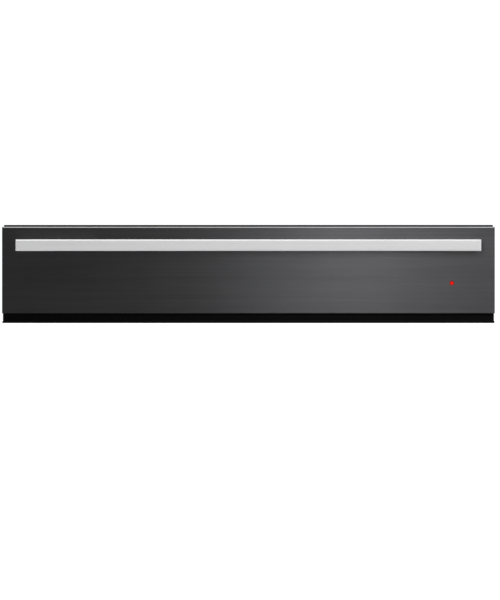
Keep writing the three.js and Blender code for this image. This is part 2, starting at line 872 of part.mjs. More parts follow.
/** Rear wall, with two banks of vent slots and the hole for the cable gland. */
function backPanel() {
  const half = bodyWidth / 2;
  const outline = rectangle([-half, half], [0, bodyHeight]);
  const bank = (side) =>
    row(backVentSlots, backVentPitch, (x) =>
      slotHole(side * backVentFromCentre + x, bodyHeight / 2, ventSlotWidth, backVentHeight),
    );
  outline.holes.push(...bank(-1), ...bank(1));
  outline.holes.push(roundHole(terminalX, terminalZ, glandBarrel + seat));
  return plate("y", [backPanelY, bodyDepth], outline);
}

/** Lid of the housing, stiffened by beads pressed down, flat on top for the appliance above. */
function topCover() {
  const half = bodyWidth / 2;
  const rear = backPanelY - seat;
  const vent = (x) => slotHole(x, rear - coverVentFromBack / 2, ventSlotWidth, coverVentLength);
  const outline = rectangle([-half, half], [housingFrontY, rear]);
  outline.holes.push(...row(coverVentSlots, coverVentPitch, vent));
  const bead = (inset, z) => (y) => {
    const [halfLength, halfWidth] = [half - coverBeadInset - inset, coverBeadWidth / 2 - inset];
    const middle = cavityBackY / 2 + y;
    return box([-halfLength, halfLength], [middle - halfWidth, middle + halfWidth], z);
  };
  const pitch = cavityBackY / (coverBeads + 1);
  const pressedZ = [coverBottom - coverBeadDepth, coverBottom + housingSheet / 2];
  const hollowZ = [bodyHeight - coverBeadDepth, bodyHeight + 1];
  const lid = plate("z", [coverBottom, bodyHeight], outline);
  const beaded = join(lid, ...row(coverBeads, pitch, bead(0, pressedZ)));
  return cut(beaded, ...row(coverBeads, pitch, bead(housingSheet, hollowZ)));
}

// ---------------------------------------------------------------- front frame and trims

/** Black frame that bears on the cabinet's front edges, with the pan's opening and the controls' window. */
function frontFrame() {
  const half = frameWidth / 2;
  const outline = rectangle([-half, half], [plinthLipHeight + seat, overallHeight]);
  outline.holes.push(
    rectangle([-cavityHalf, cavityHalf], [openingBottom, cavityTop], THREE.Path),
    rectangle([windowX, windowX + windowWidth], [windowRise, windowRise + windowHeight], THREE.Path),
  );
  for (const x of [-half + frameScrewFromEdge, half - frameScrewFromEdge]) {
    outline.holes.push(...frameScrewRises.map((z) => roundHole(x, z, frameScrewRadius)));
  }
  return plate("y", [0, frameBackY], outline);
}

/** Black strip under the front: an upright face on the frame and a thick hemmed lip at its foot. */
function plinthTrim() {
  const faceHalf = frontWidth / 2 - plinthFaceInset;
  const lipHalf = frontWidth / 2 - plinthLipInset;
  const back = -seat;
  const faceZ = [plinthLipHeight / 2, plinthHeight + plinthOverlap];
  return join(
    box([-faceHalf, faceHalf], [back - plinthSheet, back], faceZ),
    box([-lipHalf, lipHalf], [back - plinthLipDepth, frameBackY], [0, plinthLipHeight]),
  );
}

/** Silicone seal round the pan's opening, between the frame and the shut front. */
function gasket() {
  const inner = [cavityHalf + gasketInset, openingBottom - gasketInset, cavityTop + gasketInset];
  const outline = roundedRectangle(
    [-inner[0] - gasketWidth, inner[0] + gasketWidth],
    [inner[1] - gasketWidth, inner[2] + gasketWidth],
    gasketCorner,
  );
  const insideCorner = gasketCorner - gasketWidth;
  outline.holes.push(roundedRectangle([-inner[0], inner[0]], [inner[1], inner[2]], insideCorner, THREE.Path));
  return plate("y", [frontBackY + seat, -seat], outline);
}

// ---------------------------------------------------------------- heated cavity

/** Left cavity wall: a channel that carries the slide, notched at its foot for the tray's upturned end. */
function cavityWall() {
  const inside = -cavityHalf;
  const front = housingFrontY;
  const upstandTop = trayBottom + baseUpstand + seat;
  const section = channel(inside, inside - wallFlange, [wallBottom, flangeTop], wallSheet);
  const notch = [inside - wallFlange - 1, inside + 1];
  const through = [inside - wallSheet - 1, inside + 1];
  const rootX = inside - wallSheet / 2;
  const wall = cut(
    plate("y", [front + bend, cavityBackY + wallTail], section),
    box(notch, [front - 1, front + housingSheet + seat], [wallBottom - 1, upstandTop]),
    ...slideScrewYs.map((y) => crossBar(slideScrewRadius, through, y, slideAxisHeight, 8)),
  );
  const flangeZ = [upstandTop + bend, flangeTop - bend];
  return join(wall, box([inside - wallFrontFlange, rootX], [front, front + wallSheet], flangeZ));
}

const ringGap = THREE.MathUtils.degToRad(ringHeaterGapAngle);
const ringEnds = [-1, 1].map((side) => {
  const angle = -Math.PI / 2 + (side * ringGap) / 2;
  return [ringHeaterRadius * Math.cos(angle), fanZ + ringHeaterRadius * Math.sin(angle)];
});

/** Rear of the cavity: it carries the fan's motor, the heaters' ends and the cut-out. */
function cavityBack() {
  const flat = linerHalf - bend;
  const tubeHole = heaterRadius + running;
  const outline = rectangle([-flat, flat], [wallBottom, flangeTop]);
  outline.holes.push(
    roundHole(0, fanZ, fanShaftRadius + fanShaftHoleClearance),
    ...[-1, 1].map((side) => roundHole((side * heaterSpan) / 2, heaterHeight, tubeHole)),
    ...ringEnds.map(([x, z]) => roundHole(x, z, tubeHole)),
  );
  const foldY = [cavityBackY + bend, cavityBackY + wallTail];
  const foldZ = [wallBottom + bend, flangeTop - bend];
  return join(
    plate("y", [cavityBackY, cavityBackY + cavitySheet], outline),
    box([-linerHalf, -linerHalf + cavitySheet], foldY, foldZ),
    box([linerHalf - cavitySheet, linerHalf], foldY, foldZ),
  );
}

/** Slotted guard over the base heater, folded down on both sides to the base tray. */
function cavityFloor() {
  const y = [housingFrontY + housingSheet + seat, cavityFrontOfBackY];
  const flat = linerHalf - bend;
  const columnPitch = (2 * linerHalf) / floorSlotColumns;
  const rowPitch = (y[1] - y[0]) / floorSlotRows;
  const middle = (y[0] + y[1]) / 2;
  const slot = (x, dy) => slotHole(x, middle + dy, floorSlotLength, floorSlotWidth);
  const slots = row(floorSlotRows, rowPitch, (dy) => row(floorSlotColumns, columnPitch, (x) => slot(x, dy)));
  const outline = rectangle([-flat, flat], y);
  outline.holes.push(...slots.flat());
  const foldY = [y[0] + bend, y[1] - bend];
  const foldZ = [wallBottom, cavityFloorTop - bend];
  return join(
    plate("z", [cavityFloorTop - cavitySheet, cavityFloorTop], outline),
    box([-linerHalf, -linerHalf + cavitySheet], foldY, foldZ),
    box([linerHalf - cavitySheet, linerHalf], foldY, foldZ),
  );
}

/** Ceiling of the cavity, folded up on both sides to the top cover. */
function ceilingLiner() {
  const inside = linerHalf - cavitySheet;
  const section = outlineOf([
    [-linerHalf, cavityTop],
    [linerHalf, cavityTop],
    [linerHalf, flangeTop],
    [inside, flangeTop],
    [inside, cavityTop + cavitySheet],
    [-inside, cavityTop + cavitySheet],
    [-inside, flangeTop],
    [-linerHalf, flangeTop],
  ]);
  return plate("y", [housingFrontY, cavityFrontOfBackY], section);
}

function topInsulation() {
  const half = linerHalf - cavitySheet - insulationInset;
  const y = [housingFrontY + insulationInset, cavityFrontOfBackY - insulationInset];
  return box([-half, half], y, [cavityTop + cavitySheet + seat, coverBottom - coverBeadDepth - seat]);
}

function baseInsulation() {
  const half = linerHalf - cavitySheet - insulationInset;
  const y = [housingFrontY + insulationInset, cavityFrontOfBackY - insulationInset];
  return box([-half, half], y, [wallBottom, wallBottom + baseInsulationThickness]);
}

/** Tubular element bent into a serpentine under the pan, with both ends through the cavity back. */
function baseHeater() {
  const points = [];
  const turnSteps = 6;
  const turn = heaterLegPitch / 2;
  const tail = cavityBackY + cavitySheet + heaterTailLength;
  points.push(new THREE.Vector3(-heaterSpan / 2, tail, heaterHeight));
  for (let leg = 0; leg < heaterLegs - 1; leg++) {
    const middle = -heaterSpan / 2 + turn + leg * heaterLegPitch;
    const towardsFront = leg % 2 === 0;
    const turnY = towardsFront ? heaterFront + turn : heaterRearBend - turn;
    for (let step = 0; step <= turnSteps; step++) {
      const angle = (Math.PI * step) / turnSteps;
      const reach = (towardsFront ? -1 : 1) * turn * Math.sin(angle);
      points.push(new THREE.Vector3(middle - turn * Math.cos(angle), turnY + reach, heaterHeight));
    }
  }
  points.push(new THREE.Vector3(heaterSpan / 2, tail, heaterHeight));
  return tube(points, heaterRadius);
}

/** Upright strip with a hole for each leg of the base heater, and a foot on the insulation. */
function heaterComb(y) {
  const half = heaterSpan / 2 + combMargin;
  const foot = wallBottom + baseInsulationThickness + seat;
  const outline = rectangle([-half + bend, half - bend], [foot + bend, cavityFloorTop - cavitySheet - seat]);
  outline.holes.push(
    ...row(heaterLegs, heaterLegPitch, (x) => roundHole(x, heaterHeight, heaterRadius + running)),
  );
  const web = plate("y", [y + bend, y + bend + combSheet], outline);
  return join(web, box([-half, half], [y, y + combDepth], [foot, foot + combSheet]));
}

// ---------------------------------------------------------------- fan

/** Radial wheel, built about the y axis with its front at y = 0. */
function fanWheel() {
  const disc = bar(fanRadius, [fanDepth - fanDiscThickness, fanDepth], 0, 0, 24);
  const intoDisc = fanDepth - fanDiscThickness / 2;
  const hub = bar(fanHubRadius, [fanHubFromFront, intoDisc], 0, 0, 12);
  const halfThickness = fanBladeThickness / 2;
  const halfReach = (fanRadius - fanBladeInner) / 2 - fanBladeThickness / 2;
  const slant = THREE.MathUtils.degToRad(fanBladeAngle);
  const blades = Array.from({ length: fanBlades }, (_, i) => {
    const blade = box([-halfThickness, halfThickness], [0, intoDisc], [-halfReach, halfReach]);
    const slanted = blade.rotateY(slant).translate(0, 0, (fanRadius + fanBladeInner) / 2);
    return slanted.rotateY((2 * Math.PI * i) / fanBlades);
  });
  return cut(join(disc, hub, ...blades), bar(fanShaftRadius + running, [-1, fanDepth + 1], 0, 0, 12));
}

/** Guard in front of the fan: a shallow tub with a slotted intake, two outlets and an ear on each side. */
function fanCover() {
  const [half, halfHeight] = [fanCoverWidth / 2, fanCoverHeight / 2];
  const rim = (inset, Kind) =>
    rectangle([-half + inset, half - inset], [fanZ - halfHeight + inset, fanZ + halfHeight - inset], Kind);
  const face = rim(bend, THREE.Shape);
  face.holes.push(
    ...row(fanIntakeSlots, fanSlotPitch, (z) => {
      const chord = 2 * Math.sqrt(fanRadius ** 2 - z ** 2);
      return slotHole(0, fanZ + z, chord, fanSlotWidth);
    }),
  );
  for (const side of [-1, 1]) {
    const middle = side * (half - fanOutletSlots * fanSlotPitch);
    const outlet = (x) => slotHole(middle + x, fanZ, fanSlotWidth, fanCoverHeight / 2);
    face.holes.push(...row(fanOutletSlots, 2 * fanSlotPitch, outlet));
  }
  const walls = rim(0, THREE.Shape);
  walls.holes.push(rim(cavitySheet, THREE.Path));
  const back = cavityFrontOfBackY;
  const ear = (x) => box(x, [back - cavitySheet, back], [fanZ - halfHeight + bend, fanZ + halfHeight - bend]);
  const root = half - cavitySheet / 2;
  return join(
    plate("y", [fanCoverFrontY, fanCoverFrontY + cavitySheet], face),
    plate("y", [fanCoverFrontY + bend, back - bend], walls),
    ear([-half - fanCoverFlange, -root]),
    ear([root, half + fanCoverFlange]),
  );
}

/** Shaded-pole motor behind the cavity back: iron stack, coil, and a cup round each bearing. */
function fanMotor() {
  const top = fanZ + motorHeight / 2;
  const halfCoil = motorCoilWidth / 2;
  const coilMiddle = (motorStackY[0] + motorStackY[1]) / 2;
  const coilY = [coilMiddle - motorCoilDepth / 2, coilMiddle + motorCoilDepth / 2];
  const stack = box([-motorWidth / 2, motorWidth / 2], motorStackY, [top - motorHeight, top]);
  const coil = box([-halfCoil, halfCoil], coilY, [top - halfCoil, top + motorCoilRise]);
  const cups = bar(motorCupRadius, [motorFrontY, motorStackY[1] + motorCupDepth / 2], 0, fanZ);
  const bore = bar(fanShaftRadius + running, [motorFrontY - 1, motorStackY[1]], 0, fanZ, 12);
  return cut(join(stack, coil, cups), bore);
}

function fanShaft() {
  const y = [fanFrontY + fanHubFromFront, motorStackY[1] - running];
  return bar(fanShaftRadius, y, 0, fanZ, 12);
}

/** Tubular element round the fan, with both ends bent back through the cavity back. */
function ringHeater() {
  const planeY = fanFrontY + fanDepth / 2;
  const [first, last] = ringEnds;
  const turnIn = heaterRadius;
  const points = [new THREE.Vector3(last[0], cavityBackY + cavitySheet + heaterTailLength, last[1])];
  points.push(new THREE.Vector3(last[0], planeY + turnIn, last[1]));
  const steps = 18;
  const start = -Math.PI / 2 + ringGap / 2;
  const sweep = 2 * Math.PI - ringGap;
  const lead = turnIn / ringHeaterRadius;
  for (let i = 0; i <= steps; i++) {
    const angle = start + lead + ((sweep - 2 * lead) * i) / steps;
    const z = fanZ + ringHeaterRadius * Math.sin(angle);
    points.push(new THREE.Vector3(ringHeaterRadius * Math.cos(angle), planeY, z));
  }
  points.push(new THREE.Vector3(first[0], planeY + turnIn, first[1]));
  points.push(new THREE.Vector3(first[0], cavityBackY + cavitySheet + heaterTailLength, first[1]));
  return tube(points, heaterRadius);
}

/** Button thermostat that stops the heaters if the cavity gets too hot. */
function thermalCutout() {
  const y = cavityBackY + cavitySheet + seat;
  const can = bar(cutoutRadius, [y + bend, y + cutoutDepth], cutoutFromFan, fanZ);
  const reach = cutoutRadius + cutoutEar;
  const earX = [cutoutFromFan - reach, cutoutFromFan + reach];
  return join(can, box(earX, [y, y + cavitySheet], [fanZ - cutoutEar, fanZ + cutoutEar]));
}

// ---------------------------------------------------------------- controls

const switchHalfWidth = rockerWidth / 2 + running + switchWall;
const switchHalfHeight = rockerHeight / 2 + rockerSwing + switchWall;
const switchFrontY = fasciaY - seat - switchBezelThickness;
const pivotY = switchFrontY + rockerBack; // the rocker's pin

/** Recessed tub for the controls, screwed behind the frame's window. */
function controlFascia() {
  const grown = (by) => [
    [windowX - by, windowX + windowWidth + by],
    [windowRise - by, windowRise + windowHeight + by],
  ];
  const around = (by, y) => box(grown(by)[0], y, grown(by)[1]);
  const front = housingFrontY;
  const through = [fasciaY - 1, fasciaY + fasciaSheet + 1];
  const [switchX, switchZ] = [switchHalfWidth + seat, switchHalfHeight + seat];
  const rim = around(fasciaRim, [front, front + fasciaSheet]);
  const tub = around(fasciaSheet, [front + bend, fasciaY + fasciaSheet]);
  return cut(
    join(rim, tub),
    around(0, [front - 1, fasciaY]),
    bar(knobShaftRadius + knobShaftHoleClearance, through, lensX, knobZ),
    bar(lampRadius + seat, through, lensX, lensZ),
    box([lensX - switchX, lensX + switchX], through, [rockerZ - switchZ, rockerZ + switchZ]),
  );
}

/** Turning knob about the y axis: skirt at y = 0, fluted grip towards -y, and a bore for the shaft. */
function temperatureKnob() {
  const chamfer = 1;
  const body = turned(
    [
      [0, -knobLength],
      [knobGripRadius - chamfer, -knobLength],
      [knobGripRadius, -knobLength + chamfer],
      [knobGripRadius, -knobSkirt],
      [knobRadius, -knobSkirt + chamfer],
      [knobRadius, 0],
      [0, 0],
    ],
    24,
  );
  const fluteY = [-knobLength - 1, -knobSkirt + bend];
  const flutes = Array.from({ length: knobGrips }, (_, i) => {
    const flute = bar(fluteRadius, fluteY, 0, knobGripRadius + fluteRadius / 2, 5);
    return flute.rotateY(THREE.MathUtils.degToRad(knobGripStart + (360 / knobGrips) * i));
  });
  return cut(body, ...flutes, bar(knobShaftRadius + running, [-knobBoreDepth, 1], 0, 0, 12));
}

function thermostatShaft() {
  const front = -knobBoreDepth + running;
  return bar(knobShaftRadius, [front, front + knobShaftLength], 0, 0, 12);
}

/** Rotary thermostat behind the fascia, with a blind bore for its shaft. */
function thermostatBody() {
  const y = [fasciaY + fasciaSheet + seat, fasciaY + fasciaSheet + seat + thermostatDepth];
  const halfWidth = thermostatWidth / 2;
  const halfHeight = thermostatHeight / 2;
  const can = box([lensX - halfWidth, lensX + halfWidth], y, [knobZ - halfHeight, knobZ + halfHeight]);
  return cut(can, bar(knobShaftRadius + running, [y[0] - 1, y[0] + knobShaftLength], lensX, knobZ, 12));
}

/** Rocker about its pin on the x axis, drawn in its middle position. */
function powerRocker() {
  const half = rockerHeight / 2;
  const tip = rockerRise + rockerDish;
  const outline = outlineOf([
    [rockerBack, -half * rockerBackShare],
    [rockerBack, half * rockerBackShare],
    [-rockerBack, half],
    [-tip, half],
    [-rockerRise, 0],
    [-tip, -half],
    [-rockerBack, -half],
  ]);
  const halfPin = rockerWidth / 2 + rockerPinLength;
  const blade = plate("x", [-rockerWidth / 2, rockerWidth / 2], outline);
  return join(blade, crossBar(rockerPinRadius, [-halfPin, halfPin], 0, 0, 10));
}

/** Body of the switch: a bezel in front of the fascia and a well for the rocker, with bores for its pin. */
function switchBody() {
  const centred = (half) => [-half, half];
  const can = box(
    centred(switchHalfWidth),
    [switchFrontY + bend, fasciaY + switchDepth],
    centred(switchHalfHeight),
  );
  const bezel = box(
    centred(switchHalfWidth + switchBezel),
    [switchFrontY, fasciaY - seat],
    centred(switchHalfHeight + switchBezel),
  );
  const well = box(
    centred(rockerWidth / 2 + running),
    [switchFrontY - 1, pivotY + rockerHeight / 2],
    centred(switchHalfHeight - switchWall),
  );
  const bore = centred(rockerWidth / 2 + rockerPinLength + running);
  const made = cut(join(bezel, can), well, crossBar(rockerPinRadius + running, bore, pivotY, 0, 10));
  return made.translate(lensX, 0, rockerZ);
}

/** Pilot lamp behind the lens: a lit tip in front of the fascia and a holder behind it. */
function pilotLamp() {
  const bezelBack = fasciaY - seat;
  const domeY = fasciaY - lampFront + lampDome;
  return turned(
    [
      [0, fasciaY - lampFront],
      [lampRadius * Math.SQRT1_2, domeY - lampDome * Math.SQRT1_2],
      [lampRadius, domeY],
      [lampRadius, bezelBack - lampBezelThickness],
      [lampBezelRadius, bezelBack - lampBezelThickness],
      [lampBezelRadius, bezelBack],
      [lampRadius, bezelBack],
      [lampRadius, fasciaY + lampBack],
      [0, fasciaY + lampBack],
    ],
    16,
  ).translate(lensX, 0, lensZ);
}

/** Circuit board on four spacers on the right cavity wall, with its relay, transformer and capacitor. */
function controlBoard() {
  const wall = cavityHalf + wallSheet + seat;
  const face = wall + boardStandoff;
  const top = face + boardThickness;
  const y = [boardFromFront, boardFromFront + boardLength];
  const z = [boardRise, boardRise + boardHeight];
  const ends = ([low, high]) => [low + boardSpacerInset, high - boardSpacerInset];
  const spacers = ends(y).flatMap((atY) =>
    ends(z).map((atZ) => crossBar(boardSpacerRadius, [wall, face + boardThickness / 2], atY, atZ, 8)),
  );
  const block = ([out, along, up], [fromFront, rise]) => {
    const [blockY, blockZ] = [y[0] + fromFront, z[0] + rise];
    return box([top - boardSink, top + out], [blockY, blockY + along], [blockZ, blockZ + up]);
  };
  const [capacitorY, capacitorZ] = [y[0] + capacitorCentre[0], z[0] + capacitorCentre[1]];
  return join(
    box([face, top], y, z),
    ...spacers,
    block(relaySize, relayCorner),
    block(transformerSize, transformerCorner),
    block(connectorSize, connectorCorner),
    crossBar(capacitorRadius, [top - boardSink, top + capacitorHeight], capacitorY, capacitorZ),
  );
}

// ---------------------------------------------------------------- mains connection

/** Box for the mains terminals inside the back panel, open towards the front for wiring. */
function terminalBox() {
  const y = [terminalBackY - terminalDepth, terminalBackY];
  const around = (inset, yRange) => {
    const [halfWidth, halfHeight] = [terminalWidth / 2 - inset, terminalHeight / 2 - inset];
    const x = [terminalX - halfWidth, terminalX + halfWidth];
    return box(x, yRange, [terminalZ - halfHeight, terminalZ + halfHeight]);
  };
  return cut(
    around(0, y),
    around(terminalWall, [y[0] - 1, y[1] - terminalWall]),
    bar(glandBarrel + seat, [y[1] - terminalWall - 1, y[1] + 1], terminalX, terminalZ),
  );
}

/** Cable gland through the back panel and the terminal box: a ring with a flange outside and a nut inside. */
function cableGland() {
  const inner = terminalBackY - terminalWall - seat - glandNutDepth;
  const nutBack = inner + glandNutDepth;
  const flangeFront = bodyDepth + seat;
  return turned(
    [
      [glandBore, inner],
      [glandFlange, inner],
      [glandFlange, nutBack],
      [glandBarrel, nutBack],
      [glandBarrel, flangeFront],
      [glandFlange, flangeFront],
      [glandFlange, flangeFront + glandNutDepth],
      [glandBarrel, bodyDepth + glandOut],
      [glandBore, bodyDepth + glandOut],
      [glandBore, inner],
    ],
    16,
  ).translate(terminalX, 0, terminalZ);
}

// ---------------------------------------------------------------- assembly

const housing = new THREE.Group();
housing.add(
  piece("base_tray", baseTray(), galvanised),
  ...pair("side_panel", sidePanel(), galvanised),
  piece("back_panel", backPanel(), galvanised),
  piece("top_cover", topCover(), galvanised),
  piece("front_frame", frontFrame(), blackPaint),
  piece("plinth_trim", plinthTrim(), blackPaint),
  piece("door_gasket", gasket(), silicone),
  ...pair("cavity_wall", cavityWall(), stainless),
  piece("cavity_back", cavityBack(), stainless),
  piece("cavity_floor", cavityFloor(), stainless),
  piece("ceiling_liner", ceilingLiner(), stainless),
  piece("top_insulation", topInsulation(), mineralBoard),
  piece("base_insulation", baseInsulation(), mineralBoard),
  piece("base_heater", baseHeater(), heaterSheath),
  piece("heater_comb_front", heaterComb(heaterFront + combFromEnds), zincPlate),
  piece("heater_comb_rear", heaterComb(heaterRearBend - combFromEnds), zincPlate),
  piece("ring_heater", ringHeater(), heaterSheath),
  piece("fan_cover", fanCover(), stainless),
  piece("fan_motor", fanMotor(), motorIron),
  piece("thermal_cutout", thermalCutout(), aluminium),
  piece("control_fascia", controlFascia(), blackPlastic),
  piece("thermostat_body", thermostatBody(), greyPlastic),
  piece("switch_body", switchBody(), blackPlastic),
  piece("pilot_lamp", pilotLamp(), redLens),
  piece("control_board", controlBoard(), boardGreen),
  piece("terminal_box", terminalBox(), greyPlastic),
  piece("cable_gland", cableGland(), blackPlastic),
  ...slidePair("slide_outer", outerMember(), zincPlate),
);

const drawer = new THREE.Group();
drawer.add(
  piece("front_skin", frontSkin(), graphiteSteel),
  piece("front_liner", frontLiner(), stainless),
  piece("front_core", frontCore(), mineralBoard),
  piece("indicator_lens", indicatorLens(), redLens),
  piece("handle_bar", handleBar(), brushedSteel),
  ...pair("handle_block", handleBlock(), brushedSteel),
  ...handleScrewXs.map((x, i) => {
    const screw = piece(`handle_screw_${i + 1}`, handleScrew(), zincPlate);
    return place(screw, x, frontFaceY + frontSheet + seat, handleZ);
  }),
  piece("pan_floor", panFloor(), stainless),
  ...pair("pan_side", panSide(), stainless),
  piece("pan_back", panBack(), stainless),
  piece("non_slip_mat", nonSlipMat(), silicone),
  ...slidePair("slide_inner", innerMember(), zincPlate),
);

const slideStages = new THREE.Group();
slideStages.add(
  ...slidePair("slide_middle", middleMember(), zincPlate),
  ...slidePair("ball_cage_outer", outerCage(), zincPlate),
  ...slidePair("ball_cage_inner", innerCage(), zincPlate),
);

const fan = new THREE.Group();
fan.add(
  place(piece("fan_wheel", fanWheel(), aluminium), 0, fanFrontY, fanZ),
  piece("fan_shaft", fanShaft(), zincPlate),
);

const knob = new THREE.Group();
knob.position.set(lensX, fasciaY - seat, knobZ);
knob.add(
  piece("temperature_knob", temperatureKnob(), blackPlastic),
  piece("thermostat_shaft", thermostatShaft(), zincPlate),
);

// The lamp is lit, so the rocker lies in its on position, pressed at the top.
const rocker = new THREE.Group();
rocker.position.set(lensX, pivotY, rockerZ);
rocker.rotation.x = THREE.MathUtils.degToRad(-rockerAngle);
rocker.add(piece("power_rocker", powerRocker(), blackPlastic));

const appliance = new THREE.Group();
appliance.add(housing, drawer, slideStages, fan, knob, rocker);
appliance.position.y = -(handleFrontY + bodyDepth + glandOut) / 2;

export default appliance;
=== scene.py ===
"""A built-in warming drawer in a plain studio, with all sizes in millimetres.

The drawer's front comes first, then the housing with what stands in it, and last the slides, the
pan and the controls.
"""

import math

import bmesh
import bpy
from mathutils import Matrix, Vector


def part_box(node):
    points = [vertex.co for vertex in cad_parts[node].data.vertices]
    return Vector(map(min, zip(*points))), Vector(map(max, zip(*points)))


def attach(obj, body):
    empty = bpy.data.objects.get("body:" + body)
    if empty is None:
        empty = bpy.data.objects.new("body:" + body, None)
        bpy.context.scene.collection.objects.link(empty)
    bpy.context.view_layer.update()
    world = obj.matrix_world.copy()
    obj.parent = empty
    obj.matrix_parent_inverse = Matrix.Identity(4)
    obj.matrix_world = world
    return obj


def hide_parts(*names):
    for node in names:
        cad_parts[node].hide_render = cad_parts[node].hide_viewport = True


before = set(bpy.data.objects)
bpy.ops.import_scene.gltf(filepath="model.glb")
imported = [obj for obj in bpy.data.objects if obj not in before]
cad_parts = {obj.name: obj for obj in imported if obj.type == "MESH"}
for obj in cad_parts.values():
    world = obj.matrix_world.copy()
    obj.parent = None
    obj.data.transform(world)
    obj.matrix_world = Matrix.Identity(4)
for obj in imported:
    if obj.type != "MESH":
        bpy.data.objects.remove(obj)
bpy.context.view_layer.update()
MM = 0.001


# ---------------------------------------------------------------- the studio
# A straight-on view through a long lens, over a matte white floor. A low and a tall soft box stand
# in front right of the middle, a third farther right, and the surround is dimmer in front.

def span(node):
    """A node's lowest and highest corners."""
    return [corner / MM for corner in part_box(node)]


def add(name, data):
    """A new object in the scene."""
    made = bpy.data.objects.new(name, data)
    bpy.context.scene.collection.objects.link(made)
    return made


front = span("front_skin")
front_low, front_high = front
front_middle = (front_low + front_high) / 2

picture_height = 600  # pixels
picture_middle = (250, 300)
front_pixels = 492.8  # width of the front in the picture
front_at = (248.42, 270.03)  # its centre in the picture
pixel = (front_high.x - front_low.x) / front_pixels
lens = 500
sensor = 36
distance = lens / sensor * picture_height * pixel

camera_data = bpy.data.cameras.new("camera")
camera_data.lens = lens
camera_data.sensor_width = sensor
camera_data.clip_end = 100  # metres
camera = add("camera", camera_data)
camera.location = MM * Vector((
    front_middle.x + (picture_middle[0] - front_at[0]) * pixel,
    front_low.y - distance,
    front_middle.z - (picture_middle[1] - front_at[1]) * pixel,
))
camera.rotation_euler = (math.pi / 2, 0, 0)
bpy.context.scene.camera = camera
bpy.context.scene.view_settings.view_transform = "Standard"


def soft_light(name, place, target, width, height, radiance):
    """A rectangular light in metres that looks at a target, as bright as its radiance says."""
    data = bpy.data.lights.new(name, "AREA")
    data.shape = "RECTANGLE"
    data.size, data.size_y = width, height
    data.energy = radiance * math.pi * width * height
    light = add(name, data)
    light.location = place
    light.rotation_euler = (Vector(target) - Vector(place)).to_track_quat("-Z", "Y").to_euler()


soft_light("overhead_strip", (0.05, -0.28, 1.25), (0.05, -0.28, 0), 1.9, 0.5, 1.5)
soft_light("low_box", (0.172, -1.49, 0.14), (0.1, -0.27, 0.08), 0.184, 0.14, 8.8)
soft_light("tall_box", (0.172, -1.49, 0.3), (0.1, -0.27, 0.08), 0.184, 0.46, 3.5)
soft_light("far_box", (0.62, -1.49, 0.3), (0.2, -0.27, 0.08), 0.3, 0.3, 5)
soft_light("rear_box", (-0.9, 1.9, 1.1), (0, 0.1, 0.07), 1.2, 0.8, 1.6)
soft_light("right_box", (2.1, 0.5, 0.8), (0.2, 0, 0.07), 0.9, 0.7, 1.4)


class Value:
    """A socket in a tree of nodes. Arithmetic on it adds Math nodes."""

    def __init__(self, nodes, socket):
        self.nodes = nodes
        self.socket = socket

    def maths(self, operation, first, second):
        return self.nodes.node("Math", {"operation": operation}, {0: first, 1: second})

    def __add__(self, other):
        return self.maths("ADD", self, other)

    def __sub__(self, other):
        return self.maths("SUBTRACT", self, other)

    def __rsub__(self, other):
        return self.maths("SUBTRACT", other, self)

    def __mul__(self, other):
        return self.maths("MULTIPLY", self, other)

    def __gt__(self, other):
        return self.maths("GREATER_THAN", self, other)

    __radd__ = __add__
    __rmul__ = __mul__


class Nodes:
    """A tree of nodes. A node comes from its type, its settings and its sockets' values."""

    def __init__(self, tree):
        self.tree = tree

    def put(self, socket, value):
        if isinstance(value, Value):
            self.tree.links.new(value.socket, socket)
        elif socket.type == "RGBA" and len(value) == 3:
            socket.default_value = (*value, 1)
        else:
            socket.default_value = value

    def node(self, kind, settings, sockets, result=0):
        made = self.tree.nodes.new("ShaderNode" + kind)
        stops = settings.pop("stops", ())
        for setting, value in settings.items():
            setattr(made, setting, value)
        for index, (position, colour) in enumerate(stops):
            ramp = made.color_ramp.elements
            stop = ramp[index] if index < len(ramp) else ramp.new(position)
            stop.position = position
            stop.color = (*colour, 1)
        for socket, value in sockets.items():
            self.put(made.inputs[socket], value)
        return Value(self, made.outputs[result])


class Finish(Nodes):
    """A material with a Principled shader."""

    def __init__(self, name, **constants):
        self.material = bpy.data.materials.new(name)
        self.material.use_nodes = True
        super().__init__(self.material.node_tree)
        self.shader = self.tree.nodes["Principled BSDF"]
        self.feed(**constants)

    def feed(self, **values):
        """Sets the shader's sockets, or feeds them what changes over the surface."""
        for socket, value in values.items():
            self.put(self.shader.inputs[socket.replace("_", " ")], value)

    def place(self, stretch=(1, 1, 1)):
        """The piece's own coordinates in metres, times a stretch along each axis."""
        here = self.node("TexCoord", {}, {}, "Object")
        return self.node("Mapping", {}, {"Vector": here, "Scale": stretch})

    def noise(self, scale, detail=2, roughness=0.5, stretch=(1, 1, 1), result="Fac"):
        sockets = {"Vector": self.place(stretch), "Scale": scale, "Detail": detail, "Roughness": roughness}
        return self.node("TexNoise", {}, sockets, result)

    def blend(self, share, first, second):
        return self.node("Mix", {"data_type": "RGBA"}, {0: share, 6: first, 7: second}, 2)

    def relief(self, height, depth):
        """Raises the surface by up to a depth in millimetres where the height is 1."""
        sockets = {"Height": height, "Distance": depth * MM, "Strength": 1}
        self.feed(Normal=self.node("Bump", {}, sockets))


